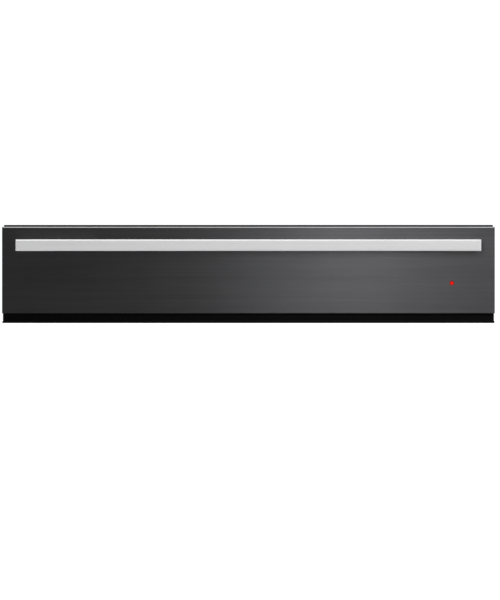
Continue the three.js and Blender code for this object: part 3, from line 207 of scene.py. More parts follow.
room_slope = (0.08, 0.55, 0.15)  # brighter to the right, to the rear and upwards
room_level = 0.82
backdrop_level = 1.05
world = bpy.data.worlds.new("surround")
world.use_nodes = True
bpy.context.scene.world = world
sky = Nodes(world.node_tree)
direction = sky.node("TexCoord", {}, {}, "Generated")
slope = sky.node("VectorMath", {"operation": "DOT_PRODUCT"}, {0: direction, 1: room_slope}, "Value")
room = sky.node("Background", {}, {"Strength": slope + room_level})
backdrop = sky.node("Background", {}, {"Color": (1, 1, 1), "Strength": backdrop_level})
in_view = sky.node("LightPath", {}, {}, "Is Camera Ray")
either = sky.node("MixShader", {}, {0: in_view, 1: room, 2: backdrop})
sky.put(world.node_tree.nodes["World Output"].inputs["Surface"], either)

floor_radius = 1500
floor_drop = 0.05  # keeps the floor clear of the housing's feet
floor_shape = bmesh.new()
bmesh.ops.create_circle(floor_shape, cap_ends=True, segments=96, radius=floor_radius * MM)
floor_mesh = bpy.data.meshes.new("floor")
floor_shape.to_mesh(floor_mesh)
floor_shape.free()
floor = add("floor", floor_mesh)
floor.location.z = -floor_drop * MM
floor.visible_glossy = False

studio_floor = Finish("studio_floor", Roughness=0.9, Emission_Color=(1, 1, 1), Emission_Strength=0.55)
scuffs = studio_floor.noise(3)
studio_floor.feed(Base_Color=studio_floor.blend(scuffs, (0.84, 0.84, 0.84), (0.88, 0.88, 0.88)))
floor.data.materials.append(studio_floor.material)


# ---------------------------------------------------------------- front panel
# The drawer's front is one sheet of dark graphite steel, brushed along its length and folded back
# on all four sides. Its bevel is narrow at the foot. Its colour is painted light at the top, as a
# painted highlight, and painted dark at the left, as painted shade.

def shade(colour, factor):
    return tuple(min(1, part * factor) for part in colour)


def brushed_metal(name, colour, along, roughness, contrast=0.08, grain=0.02, streak=0.0, edges=(), solid=1.0):
    """Metal brushed along one axis: long fine lines, and faint clouds where hands have wiped it.

    The streak draws highlights out across the lines of an upright face. An edge is a direction
    and the colour painted on the narrow faces turned that way: painted highlight where it is lighter
    than the metal, painted shade where it is darker. A finish that is less than solid metal scatters
    more light.
    """
    finish = Finish(name, Metallic=solid, Anisotropic=streak, Anisotropic_Rotation=0.25)
    stretch = [620, 620, 620]
    stretch["xyz".index(along)] = 5
    lines = finish.noise(1, 4, 0.65, stretch)
    broad = finish.noise(1, stretch=[part / 4 for part in stretch])
    clouds = finish.noise(9, 3)
    tone = lines * 0.5 + broad * 0.3 + clouds * 0.2
    surface = finish.blend(tone, shade(colour, 1 - contrast), shade(colour, 1 + contrast))
    # Painted light: faces turned one way take a lighter or darker colour for the light that falls there.
    for direction, painted_light_colour in edges:
        facing = finish.node("NewGeometry", {}, {}, "True Normal")
        towards = {0: facing, 1: Vector(direction).normalized()}
        match = finish.node("VectorMath", {"operation": "DOT_PRODUCT"}, towards, "Value")
        surface = finish.blend(match > 0.9, surface, painted_light_colour)
    finish.feed(Base_Color=surface, Roughness=roughness + (lines - 0.5) * 0.16 + (clouds - 0.5) * 0.08)
    finish.relief(lines, grain)
    return finish.material


def rounded(u, v, radius=0.0, steps=4):
    """A rectangle's outline as (u, v) points, counter-clockwise, with its corners rounded."""
    left, right, low, high = u[0] + radius, u[1] - radius, v[0] + radius, v[1] - radius
    corners = [(right, low, -90), (right, high, 0), (left, high, 90), (left, low, 180)]
    points = []
    for middle_u, middle_v, start in corners:
        for step in range(steps + 1 if radius else 1):
            angle = math.radians(start + 90 * step / steps)
            points.append((middle_u + radius * math.cos(angle), middle_v + radius * math.sin(angle)))
    return points


def stand(axis, outline, along):
    """An outline set across an axis: its points are (y, z) for x, (x, z) for y and (x, y) for z."""
    place = "xyz".index(axis)
    return [(*point[:place], along, *point[place:]) for point in outline]


def sides(axis, box, inset=0.0):
    """A box's two pairs of sides across an axis, set in by an inset."""
    low, high = box
    return [(low[i] + inset, high[i] - inset) for i in range(3) if "xyz"[i] != axis]


def loop(axis, box, along, inset=0.0, radius=0.0, steps=4):
    """A loop round a box, across an axis, set in from its sides and rounded at its corners."""
    return stand(axis, rounded(*sides(axis, box, inset), radius, steps), along)


def lofted(loops, ring=False):
    """A skin over loops with as many points each. Its two ends are closed, or joined in a ring."""
    shape = bmesh.new()
    rows = [[shape.verts.new(point) for point in points] for points in loops]
    if ring:
        rows.append(rows[0])
    for row_a, row_b in zip(rows, rows[1:]):
        for i in range(len(row_a)):
            shape.faces.new((row_a[i - 1], row_a[i], row_b[i], row_b[i - 1]))
    if not ring:
        shape.faces.new(rows[0])
        shape.faces.new(rows[-1])
    return shape


def settle(piece):
    """Applies a piece's modifiers."""
    seen = piece.evaluated_get(bpy.context.evaluated_depsgraph_get())
    mesh = bpy.data.meshes.new_from_object(seen)
    piece.modifiers.clear()
    piece.data = mesh


def shade_evenly(piece):
    """Lets a piece's large faces outweigh the narrow ones beside them, so that they look flat."""
    piece.modifiers.new("even_shading", "WEIGHTED_NORMAL").keep_sharp = True
    settle(piece)


def shade_smooth(piece, sharp=32):
    """Shades a piece smooth, apart from edges sharper than so many degrees."""
    piece.data.shade_smooth()
    piece.data.set_sharp_from_angle(angle=math.radians(sharp))
    shade_evenly(piece)


def piece_of(name, shape, material, edge=0.0, segments=2):
    """Ends a shape in millimetres as a piece in metres, with its sharp edges rounded by edge."""
    bmesh.ops.scale(shape, vec=(MM, MM, MM), verts=shape.verts)
    bmesh.ops.recalc_face_normals(shape, faces=shape.faces)
    mesh = bpy.data.meshes.new(name)
    shape.to_mesh(mesh)
    shape.free()
    piece = add(name, mesh)
    if edge:
        bevel = piece.modifiers.new("soft_edges", "BEVEL")
        bevel.width = edge * MM
        bevel.segments = segments
        bevel.limit_method = "ANGLE"
        settle(piece)
    piece.data.materials.clear()
    piece.data.materials.append(material)
    shade_smooth(piece)
    return piece


def fit(piece, body, slot, *nodes):
    """Fixes a piece to its body, and lets it stand for its nodes. Its slot is not used."""
    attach(piece, body)
    if nodes:
        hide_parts(*nodes)


def cut_away(piece, shape):
    """Takes a shape in millimetres out of a piece."""
    tool = piece_of("tool", shape, graphite)
    difference = piece.modifiers.new("cut", "BOOLEAN")
    difference.object = tool
    difference.solver = "EXACT"
    settle(piece)
    bpy.data.objects.remove(tool)
    shade_smooth(piece)


# The top bevel's light colour is a painted highlight, and the left bevel's near-black colour is painted
# shade.
graphite = brushed_metal("graphite_steel", (0.08, 0.08, 0.083), "x", 0.371, 0.35, streak=0.58, edges=[
    ((0, -1, 1), (0.32, 0.32, 0.325)),
    ((-1, -1, 0), (0.006, 0.006, 0.0065)),
])
face_bevel = 1.5
foot_bevel = 0.4
front_sheet = 1.2
front_corner = 0.5
lip_width = 12
liner_recess = 1.3
front_depth = front_high.y - front_low.y
lip_back = front_depth - liner_recess
lip_front = lip_back - front_sheet
inner_bevel = face_bevel + front_sheet / 2

face = (front_low - Vector((0, 0, face_bevel - foot_bevel)), front_high)
loops = [loop("y", face, front_low.y, face_bevel, front_corner, 2)]
for behind, inset in (
    (face_bevel, 0),
    (front_depth, 0),
    (front_depth, front_sheet),
    (lip_back, front_sheet),
    (lip_back, front_sheet + lip_width),
    (lip_front, front_sheet + lip_width),
    (lip_front, front_sheet),
    (inner_bevel, front_sheet),
    (front_sheet, inner_bevel),
):
    loops.append(loop("y", front, front_low.y + behind, inset, front_corner, 2))
skin = piece_of("front_panel", lofted(loops), graphite, edge=0.12)


# ---------------------------------------------------------------- indicator light
# A red light guide shows as a dot in the front at lower right. Its collar holds it behind the
# skin, and its tail carries the pilot lamp's light through the front.

def turned(profile, centre, axis="y", segments=40, ring=False):
    """A turned shape from (radius, along) points about an axis through a centre."""
    angles = [2 * math.pi * i / segments for i in range(segments)]
    loops = []
    for radius, along in profile:
        circle = [(radius * math.cos(a), radius * math.sin(a)) for a in angles]
        loops.append(stand(axis, circle, along))
    shape = lofted(loops, ring)
    bmesh.ops.remove_doubles(shape, verts=shape.verts, dist=1e-4)
    bmesh.ops.translate(shape, vec=centre, verts=shape.verts)
    return shape


def rod(radius, start, end, centre, axis="y", segments=40):
    return turned([(0, start), (radius, start), (radius, end), (0, end)], centre, axis, segments)


def arc(radius, depth, at, steps=5):
    """A dome's profile from its rim at (radius, at) to its top, depth away, on the axis."""
    quarter = [math.pi / 2 * i / steps for i in range(steps + 1)]
    return [(radius * math.cos(a), at + depth * math.sin(a)) for a in quarter]


def lit_plastic(name, middle, rim, centre, radius, strength):
    """Clear red plastic lit from behind, brighter and warmer at its middle."""
    finish = Finish(name, Roughness=0.35, Specular_IOR_Level=0.05, Emission_Strength=strength)
    here = finish.node("TexCoord", {}, {}, "Object")
    away = finish.node("VectorMath", {"operation": "DISTANCE"}, {0: here, 1: Vector(centre) * MM}, "Value")
    stops = [(0.1, middle), (0.95, rim)]
    glow = finish.node("ValToRGB", {"stops": stops}, {"Fac": away * (1 / (radius * MM))})
    finish.feed(Base_Color=glow, Emission_Color=glow)
    return finish.material


lens_low, lens_high = span("indicator_lens")
lens_middle = (lens_low + lens_high) / 2
lens_face = Vector((lens_middle.x, front_low.y, lens_middle.z))
lens_tail = lens_high.y - front_low.y
lens_radius = 3.3
lens_dome = 0.8
lens_play = 0.15
collar_radius = (lens_high.x - lens_low.x) / 2
collar = [1.5, 2.7]  # behind the front's face
red_light = lit_plastic("red_light", (0.84, 0.011, 0.001), (0.22, 0.001, 0.001), lens_face, lens_radius, 0.5)
light_guide = piece_of("indicator_light", turned([
    (0, lens_tail),
    (lens_radius, lens_tail),
    (lens_radius, collar[1]),
    (collar_radius, collar[1]),
    (collar_radius, collar[0]),
    (lens_radius, collar[0]),
    *arc(lens_radius, -lens_dome, 0),
], lens_face), red_light)
fit(light_guide, "drawer", "indicator_red", "indicator_lens")

hole_reach = 3
cut_away(skin, rod(lens_radius + lens_play, -hole_reach, hole_reach, lens_face))
fit(skin, "drawer", "front_graphite", "front_skin")


# ---------------------------------------------------------------- handle
# A flat bar of stainless steel, brushed along its length, with its front edges bevelled. It
# stands on two solid blocks, and each block is held by two screws from inside the front.

def drawn(axis, box, profile, ring=False, steps=4):
    """A skin over loops round a box, from a profile of (along, inset, corner radius) points."""
    return lofted([loop(axis, box, *point, steps=steps) for point in profile], ring)


def block(low, high):
    """A plain block between two corners."""
    return drawn("y", (low, high), [(low[1],), (high[1],)])


handle_steel = brushed_metal("handle_steel", (0.9, 0.9, 0.905), "x", 0.7, 0.1, 0.04, solid=0.75)
bar = span("handle_bar")
bar_front, bar_back = bar[0].y, bar[1].y
bar_bevel = 2.2
back_bevel = 0.4
handle = piece_of("handle_bar_brushed", drawn("y", bar, [
    (bar_front, bar_bevel),
    (bar_front + bar_bevel, 0),
    (bar_back - back_bevel, 0),
    (bar_back, back_bevel),
]), handle_steel, edge=0.15)
fit(handle, "drawer", "handle_steel", "handle_bar")

block_chamfer = 0.8
joint_gap = Vector((0, 0.25, 0))  # the blocks close the gap to the bar and to the front
for side in ("left", "right"):
    low, high = span(f"handle_block_{side}")
    foot = piece_of(
        f"handle_foot_{side}", block(low - joint_gap, high + joint_gap), handle_steel, block_chamfer, 1)
    fit(foot, "drawer", "handle_steel", f"handle_block_{side}")


# ---------------------------------------------------------------- small screws
# Zinc-plated pan-head screws with a cross recess hold the inner cover, the housing and the pan.
# Others of the same zinc plate fix the handle's blocks from inside the front, out of sight.

def plated_steel(name, colour):
    """Bright zinc plate: a smooth metal with a faint warm and cool cast."""
    finish = Finish(name, Metallic=1)
    cast = finish.noise(38, 3)
    fine = finish.noise(900)
    warm, cool = shade(colour, 1.02), (colour[0] * 0.93, colour[1] * 0.97, min(1, colour[2] * 1.08))
    finish.feed(Base_Color=finish.blend(cast, warm, cool), Roughness=0.26 + cast * 0.12 + fine * 0.06)
    finish.relief(fine, 0.008)
    return finish.material


def screw_head(radius, rise):
    """A screw's head on a panel that faces +z, as a mesh in metres with a cross cut in it."""
    dome = [(radius, 0), (radius, rise * 0.35), *arc(radius * 0.96, rise * 0.6, rise * 0.4, 4)]
    head = piece_of("head", turned([(0, 0), *dome], (0, 0, 0), "z", 24), zinc)
    reach, half = radius * 0.55, radius * 0.13
    for u, v in ((reach, half), (half, reach)):
        cut_away(head, block((-u, -v, rise * 0.45), (u, v, rise * 1.3)))
    mesh = head.data
    bpy.data.objects.remove(head)
    return mesh


zinc = plated_steel("zinc_plate", (0.72, 0.73, 0.7))
head_mesh = screw_head(radius=3.6, rise=1.5)
turn_between = 0.7  # radians from one screw's cross to the next


def screws(name, body, facing, places):
    """Fixes screw heads at places on panels that face one way to a body, as one piece."""
    turn = Vector(facing).to_track_quat("Z", "Y").to_matrix().to_4x4()
    whole = bmesh.new()
    for index, place in enumerate(places):
        spin = Matrix.Rotation(turn_between * index, 4, "Z")
        copy = head_mesh.copy()
        copy.transform(Matrix.Translation(Vector(place) * MM) @ turn @ spin)
        whole.from_mesh(copy)
        bpy.data.meshes.remove(copy)
    mesh = bpy.data.meshes.new(name)
    whole.to_mesh(mesh)
    whole.free()
    mesh.materials.append(zinc)
    fit(add(name, mesh), body, "zinc_plate")


def paint(material, *nodes):
    """Gives nodes, whose shapes stay, a finish."""
    for node in nodes:
        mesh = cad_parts[node].data
        mesh.materials.clear()
        mesh.materials.append(material)


paint(zinc, *[f"handle_screw_{number}" for number in (1, 2, 3, 4)])


# ---------------------------------------------------------------- inside of the front
# The front is filled with a mineral wool board and closed by a flat stainless cover, let in
# between the skin's sides and held by screws outside the seal's track.

def trace(curve, points, closed):
    """Adds a line through points to a curve."""
    line = curve.splines.new("POLY")
    line.points.add(len(points) - 1)
    line.use_cyclic_u = closed
    for point, place in zip(line.points, points):
        point.co = (*place, 1)


def shape_of(curve):
    """A curve or a text as a welded shape. The curve is used up."""
    bearer = bpy.data.objects.new("bearer", curve)
    mesh = bpy.data.meshes.new_from_object(bearer)
    shape = bmesh.new()
    shape.from_mesh(mesh)
    bmesh.ops.remove_doubles(shape, verts=shape.verts, dist=1e-3)
    bpy.data.objects.remove(bearer)
    bpy.data.curves.remove(curve)
    bpy.data.meshes.remove(mesh)
    return shape


def stand_up(shape, axis, along, start=(0, 0)):
    """Sets a flat shape across an axis, with its origin at a (u, v) start."""
    for vertex in shape.verts:
        u, v, rise = vertex.co
        vertex.co = stand(axis, [(start[0] + u, start[1] + v)], along + rise)[0]
    return shape


def sheet_of(outline, axis, low, high, holes=(), edge=0.15):
    """A flat sheet cut to an outline with holes, from low to high along an axis."""
    curve = bpy.data.curves.new("sheet", "CURVE")
    curve.dimensions = "2D"
    curve.fill_mode = "BOTH"
    curve.extrude = (high - low) / 2 - edge
    curve.bevel_depth = edge
    curve.bevel_resolution = 1
    curve.offset = -edge
    for line in [outline, *holes]:
        trace(curve, stand("z", line, 0), True)
    return stand_up(shape_of(curve), axis, (low + high) / 2)


def panel(axis, low, high, radius=0.0, steps=4, holes=(), edge=0.15):
    """A flat sheet between two corners of a box, with its own corners rounded and holes in it."""
    place = "xyz".index(axis)
    outline = rounded(*sides(axis, (low, high)), radius, steps)
    return sheet_of(outline, axis, low[place], high[place], holes, edge)


def together(*shapes):
    """Several shapes as one."""
    whole = bmesh.new()
    for shape in shapes:
        part = bpy.data.meshes.new("part")
        shape.to_mesh(part)
        whole.from_mesh(part)
        shape.free()
        bpy.data.meshes.remove(part)
    return whole


def slot_hole(u, v, wide, high, steps=8):
    """A round-ended hole about a centre."""
    radius = min(wide, high) / 2
    return rounded([u - wide / 2, u + wide / 2], [v - high / 2, v + high / 2], radius - 1e-3, steps)


def centred_row(count, pitch):
    return [(i - (count - 1) / 2) * pitch for i in range(count)]


def mineral_wool(name):
    """Pressed mineral wool: pale, rough, with matted fibres."""
    finish = Finish(name, Roughness=0.95, Specular_IOR_Level=0.15)
    mat = finish.noise(1, 6, 0.7, (90, 240, 400))
    lumps = finish.noise(60, 3)
    finish.feed(Base_Color=finish.blend(mat * 0.7 + lumps * 0.3, (0.5, 0.44, 0.29), (0.86, 0.82, 0.66)))
    finish.relief(mat + lumps, 0.6)
    return finish.material


wool = mineral_wool("mineral_wool")
stainless = brushed_metal("stainless_sheet", (0.62, 0.62, 0.63), "x", 0.36, 0.07, 0.015)
paint(wool, "front_core")

low, high = span("front_liner")
guide_hole = 2 * lens_radius + 1
holes = [slot_hole(lens_middle.x, lens_middle.z, guide_hole, guide_hole)]
liner = piece_of("front_inner_cover", panel("y", low, high, 1, 3, holes), stainless)
fit(liner, "drawer", "stainless_sheet", "front_liner")

side_screw_inset = 11
side_screw_rises = (-52, 0, 52)  # about the front's middle
top_screw_inset = 8
top_screw_pitch = 190
places = [(x, high.y, front_middle.z + rise)
          for x in (low.x + side_screw_inset, high.x - side_screw_inset) for rise in side_screw_rises]
places += [(x, high.y, high.z - top_screw_inset) for x in centred_row(4, top_screw_pitch)]
screws("cover_screws", "drawer", (0, 1, 0), places)


# ---------------------------------------------------------------- front frame and plinth
# The frame is a black powder-coated sheet that bears on the cabinet. Its top edge shows as a thin
# strip over the front. The plinth strip under the front is folded to a thick lip at its foot.

def powder_coat(name, colour):
    """Satin powder coat, with the fine uneven skin of baked paint."""
    finish = Finish(name, Specular_IOR_Level=0.08)
    peel = finish.noise(420, 2, 0.6)
    dust = finish.noise(14, 4)
    tone = finish.blend(dust, shade(colour, 0.8), shade(colour, 1.35))
    finish.feed(Base_Color=tone, Roughness=0.42 + dust * 0.14)
    finish.relief(peel, 0.03)
    return finish.material


black_coat = powder_coat("black_coat", (0.0025, 0.0025, 0.0026))
frame_low, frame_high = span("front_frame")
seal_box = span("door_gasket")
tub_box = span("control_fascia")
seal_land = 9  # from the seal's outer edge to the pan's opening
tub_rim = 4  # round the window of the control recess
screw_inset = 8
screw_z = (44, 118)
screw_hole = 4.5
holes = [rounded(*sides("y", seal_box, seal_land), 1.5, 3), rounded(*sides("y", tub_box, tub_rim), 1.5, 3)]
for x in (frame_low.x + screw_inset, frame_high.x - screw_inset):
    holes += [slot_hole(x, z, screw_hole, screw_hole) for z in screw_z]
flange = Vector((1.8, 0, 0))  # the sheet's edge stands out past the housing's sides
front_frame = panel("y", frame_low - flange, frame_high + flange, 0.8, 2, holes, edge=0.06)
fit(piece_of("cabinet_frame", front_frame, black_coat), "housing", "frame_black", "front_frame")

low, high = span("plinth_trim")
lip_height = 3.3
lip_reach = 0.3
lip_lap = 1
face_inset = 0.2
face_sheet = 1.2
face_back = frame_low.y - 0.3
face_front = face_back - face_sheet
plinth = piece_of("plinth_strip", together(
    block((low.x - lip_reach, low.y, low.z), (high.x + lip_reach, high.y, low.z + lip_height)),
    block((low.x + face_inset, face_front, low.z + lip_lap), (high.x - face_inset, face_back, high.z)),
), black_coat, 0.1)
fit(plinth, "housing", "frame_black", "plinth_trim")


# ---------------------------------------------------------------- door seal
# A hollow silicone seal runs round the pan's opening. It is pressed into the frame, and its
# round nose closes the gap to the inner cover when the drawer is shut.

def silicone_rubber(name, colour):
    """Matte silicone with a little dust and moulding grain."""
    finish = Finish(name, Specular_IOR_Level=0.3)
    dust = finish.noise(26, 5, 0.6)
    grain = finish.noise(700)
    finish.feed(Base_Color=finish.blend(dust, colour, shade(colour, 1.5)), Roughness=0.7 + dust * 0.2)
    finish.relief(grain, 0.02)
    return finish.material


grey_silicone = silicone_rubber("grey_silicone", (0.025, 0.027, 0.028))
low, high = seal_box
seal_width = 7
seal_corner = 2
seal_depth = high.y - low.y
nose_share = 0.45  # of the depth
angles = [math.pi * i / 10 for i in range(11)]
nose = [(0.5 - 0.5 * math.cos(a), nose_share * (1 - math.sin(a))) for a in angles]
profile = []
for across, behind in [(0, 1), *nose, (1, 1)]:
    out = across * seal_width
    profile.append((low.y + behind * seal_depth, seal_width - out, seal_corner + out))
seal = piece_of("opening_seal", drawn("y", seal_box, profile, ring=True, steps=6), grey_silicone)
fit(seal, "housing", "silicone_grey", "door_gasket")


# ---------------------------------------------------------------- housing
# The housing is folded from galvanised sheet. Long beads are pressed into its sides and top to
# stiffen it, slots are punched for cooling air, and screws hold the panels at their edges.

def galvanised_sheet(name):
    """Hot-dip galvanised steel: large dull crystals, a few scuffs and a soft sheen."""
    finish = Finish(name, Metallic=1)
    wander = finish.noise(40, result="Color")
    bent = finish.node("VectorMath", {"operation": "SCALE"}, {0: wander, "Scale": 0.012})
    place = finish.node("VectorMath", {"operation": "ADD"}, {0: finish.place(), 1: bent})
    cells = finish.node("TexVoronoi", {}, {"Vector": place, "Scale": 95}, "Color")
    crystal = finish.node("SeparateColor", {}, {"Color": cells}, "Red")
    facet = finish.node("SeparateColor", {}, {"Color": cells}, "Green")
    scuffs = finish.noise(1, 5, 0.7, (30, 200, 200))
    tone = crystal * 0.6 + scuffs * 0.4
    finish.feed(
        Base_Color=finish.blend(tone, (0.4, 0.42, 0.44), (0.66, 0.68, 0.7)),
        Roughness=0.36 + facet * 0.14 + scuffs * 0.1,
    )
    finish.relief(crystal + scuffs * 0.4, 0.01)
    return finish.material


galvanised = galvanised_sheet("galvanised_sheet")
housing_sheet = 1
bead_depth = 1.5
bead_steps = 6
vent_width = 4


def pressed_bead(axis, face, inwards, u, v, long, wide):
    """A long round-ended trough pressed into a sheet, to fill a hole of the same centre and size."""
    loops = []
    for depth, inset in ((bead_depth, 1.5), (0, 0), (housing_sheet, -0.3), (bead_depth + housing_sheet, 1.2)):
        outline = slot_hole(u, v, long - 2 * inset, wide - 2 * inset, bead_steps)
        loops.append(stand(axis, outline, face + inwards * depth))
    return lofted(loops)


def mirrored(piece, name):
    """The right-hand twin of a left-hand piece."""
    mesh = piece.data.copy()
    mesh.transform(Matrix.Scale(-1, 4, (1, 0, 0)))
    mesh.flip_normals()
    twin = add(name, mesh)
    shade_evenly(twin)
    return twin


def fit_pair(name, shape, material, body, slot, node):
    """Fits a left-hand piece and its right-hand twin. Braces in the body's name take the side."""
    left = piece_of(f"{name}_left", shape, material)
    for side, piece in (("left", left), ("right", mirrored(left, f"{name}_right"))):
        fit(piece, body.format(side), slot, f"{node}_{side}")


low, high = span("side_panel_left")
bead_y = low.y + 174
beads = [(bead_y, high.z * row / 3, 300, 12) for row in (1, 2)]
vent_y = high.y - 72
vent_z = 74
holes = [slot_hole(vent_y + y, vent_z, vent_width, 44) for y in centred_row(9, 12)]
holes += [slot_hole(*bead, bead_steps) for bead in beads]
flange_x = low.x + 0.2
fit_pair("side_sheet", together(
    panel("x", low, (low.x + housing_sheet, high.y, high.z), 0.5, 2, holes),
    *[pressed_bead("x", low.x, 1, *bead) for bead in beads],
    block((flange_x, low.y, high.z - housing_sheet), high),
    block((flange_x, low.y, low.z), (high.x, high.y, low.z + housing_sheet)),
    block((flange_x, high.y - housing_sheet, low.z), high),
), galvanised, "housing", "galvanised_steel", "side_panel")

low, high = span("top_cover")
bead_length = high.x - low.x - 216
bead_y = 5
beads = [(0, bead_y + y, bead_length, 18) for y in centred_row(3, 123)]
vent_y = high.y - 25
holes = [slot_hole(x, vent_y, vent_width, 36) for x in centred_row(12, 12)]
holes += [slot_hole(*bead, bead_steps) for bead in beads]
cover = piece_of("top_sheet", together(
    panel("z", (low.x, low.y, high.z - housing_sheet), high, 1.5, 3, holes),
    *[pressed_bead("z", high.z, -1, *bead) for bead in beads],
), galvanised)
fit(cover, "housing", "galvanised_steel", "top_cover")
screw_x = high.x - 7
screw_y = (-215, 28, 270)
cover_places = [(x, y, high.z) for x in (-screw_x, screw_x) for y in screw_y]

gland_low, gland_high = span("cable_gland")
gland_x, gland_z = (gland_low.x + gland_high.x) / 2, (gland_low.z + gland_high.z) / 2
gland_barrel = 8  # its radius through the panel
gland_hole = 2 * gland_barrel + 0.6
back_low, back_high = span("back_panel")
vents_at = 110
holes = [slot_hole(side * vents_at + x, back_high.z / 2, vent_width, 52)
         for side in (-1, 1) for x in centred_row(10, 14)]
holes.append(slot_hole(gland_x, gland_z, gland_hole, gland_hole))
back = piece_of("rear_sheet", panel("y", back_low, back_high, 1.5, 3, holes), galvanised)
fit(back, "housing", "galvanised_steel", "back_panel")
screw_z = (20, 73, 126)
top_row_z = 138
places = [(x, back_high.y, z) for x in (-screw_x, screw_x) for z in screw_z]
places += [(x, back_high.y, top_row_z) for x in centred_row(3, 215)]
screws("rear_screws", "housing", (0, 1, 0), places)
screws("top_screws", "housing", (0, 0, 1), cover_places)
paint(galvanised, "base_tray")


# ---------------------------------------------------------------- mains connection
# The mains cable enters at the left rear through a black nylon gland: a six-sided body outside the
# panel, a split dome that grips the cable, and a nut inside the grey terminal box.

def moulded_plastic(name, colour, roughness=0.45):
    """Injection-moulded plastic with a fine spark-eroded grain."""
    finish = Finish(name, Specular_IOR_Level=0.45)
    grain = finish.noise(1100, 3, 0.7)
    flow = finish.noise(20, 3)
    finish.feed(
        Base_Color=finish.blend(flow, shade(colour, 0.92), shade(colour, 1.1)),
        Roughness=roughness + (grain - 0.5) * 0.2 + flow * 0.06,
    )
    finish.relief(grain, 0.02)
    return finish.material


black_plastic = moulded_plastic("black_plastic", (0.012, 0.012, 0.013))
grey_plastic = moulded_plastic("grey_plastic", (0.26, 0.27, 0.28), 0.55)
paint(grey_plastic, "terminal_box")

gland_bore = 4.6
gland_outer = (gland_high.x - gland_low.x) / 2
gland_mouth = 6.4
body_back = back_high.y + 0.3
body_depth = 4
nut_face = gland_low.y + 4
dome_radius = 8.4
groove = 0.5
groove_pitch = 0.55
dome_back = body_back + 4.6


def sleeve(outside, segments):
    """A turned sleeve round the cable, from the points of its outside."""
    start, end = outside[0][1], outside[-1][1]
    profile = [(gland_bore, start), *outside, (gland_bore, end)]
    return turned(profile, (gland_x, 0, gland_z), "y", segments, ring=True)


grooves = [(dome_radius - groove * (i % 2), dome_back + groove_pitch * i) for i in range(7)]
gland = piece_of("cable_entry", together(
    sleeve([(gland_outer, body_back), (gland_outer, body_back + body_depth),
            (gland_outer - 1, body_back + body_depth + 0.8)], 6),
    sleeve([*grooves, (gland_mouth, gland_high.y)], 36),
    sleeve([(gland_barrel, nut_face), (gland_barrel, body_back)], 36),
    sleeve([(gland_outer, gland_low.y), (gland_outer, nut_face)], 6),
), black_plastic, 0.2)
fit(gland, "housing", "black_plastic", "cable_gland")


# ---------------------------------------------------------------- heated cavity
# Stainless walls, a ceiling and a back line the cavity. A slotted floor guard covers the base
# heater, and mineral wool boards keep the heat in above and below.

cavity_steel = brushed_metal("cavity_steel", (0.5, 0.5, 0.51), "y", 0.4, 0.08, 0.015)
paint(cavity_steel, "cavity_wall_left", "cavity_wall_right", "cavity_back", "ceiling_liner")
paint(wool, "top_insulation", "base_insulation")

low, high = span("cavity_floor")
guard_sheet = 1
side_top = high.z - 0.2
rows = 4
floor_middle = (low.y + high.y) / 2
holes = [slot_hole(x, floor_middle + y, 90, 6)
         for x in centred_row(rows, (high.x - low.x) / rows)
         for y in centred_row(rows, (high.y - low.y) / rows)]
guard = piece_of("floor_guard", together(
    panel("z", (low.x, low.y, high.z - guard_sheet), high, holes=holes),
    block(low, (low.x + guard_sheet, high.y, side_top)),
    block((high.x - guard_sheet, low.y, low.z), (high.x, high.y, side_top)),
), cavity_steel)
fit(guard, "housing", "stainless_sheet", "cavity_floor")


# ---------------------------------------------------------------- heaters
# Two tubular elements heat the drawer: a serpentine under the floor guard, held by two combs, and
# a ring round the fan. Both have a steel sheath that heat has tinted.

def heated_sheath(name):
    """Oxidised heater tube: grey-brown with straw and blue tints."""
    finish = Finish(name, Metallic=0.85)
    tint = finish.noise(14, 3)
    scale = finish.noise(350, 4)
    stops = [(0.3, (0.09, 0.085, 0.08)), (0.5, (0.2, 0.15, 0.1)), (0.68, (0.13, 0.14, 0.19))]
    tone = finish.node("ValToRGB", {"stops": stops}, {"Fac": tint})
    finish.feed(Base_Color=tone, Roughness=0.42 + scale * 0.25)
    finish.relief(scale, 0.03)
    return finish.material


sheath = heated_sheath("heater_sheath")
heater_radius = 3.25


def heater(name, points, node):
    """Fits a round tube with closed ends through points."""
    curve = bpy.data.curves.new("tube", "CURVE")
    curve.dimensions = "3D"
    curve.bevel_depth = heater_radius
    curve.bevel_resolution = 3
    curve.use_fill_caps = True
    trace(curve, points, False)
    fit(piece_of(name, shape_of(curve), sheath), "housing", "heater_sheath", node)


low, high = span("base_heater")
legs = 6
leg_pitch = 70
leg_reach = 300
turn_radius = leg_pitch / 2
turn_steps = 12
heater_z = (low.z + high.z) / 2
first_leg = low.x + heater_radius
front_turn = low.y + heater_radius + turn_radius
points = [(first_leg, high.y, heater_z)]
for leg in range(legs - 1):
    middle = first_leg + turn_radius + leg * leg_pitch
    turn_y, outwards = (front_turn, -1) if leg % 2 == 0 else (front_turn + leg_reach, 1)
    for step in range(turn_steps + 1):
        angle = math.pi * step / turn_steps
        points.append((middle - turn_radius * math.cos(angle),
                       turn_y + outwards * turn_radius * math.sin(angle), heater_z))
points.append((first_leg + (legs - 1) * leg_pitch, high.y, heater_z))
heater("serpentine_heater", points, "base_heater")

low, high = span("ring_heater")
fan_low, fan_high = span("fan_wheel")
fan_z = (fan_low.z + fan_high.z) / 2
ring_plane = low.y + heater_radius
ring_radius = (high.x - low.x) / 2 - heater_radius
ring_steps = 48
open_angle = math.radians(50)
circle = []
for step in range(ring_steps + 1):
    angle = -math.pi / 2 + open_angle / 2 + (2 * math.pi - open_angle) * step / ring_steps
    circle.append((ring_radius * math.cos(angle), ring_plane, fan_z + ring_radius * math.sin(angle)))
tails = [(x, high.y, z) for x, _, z in (circle[0], circle[-1])]
heater("ring_element", [tails[0], *circle, tails[1]], "ring_heater")

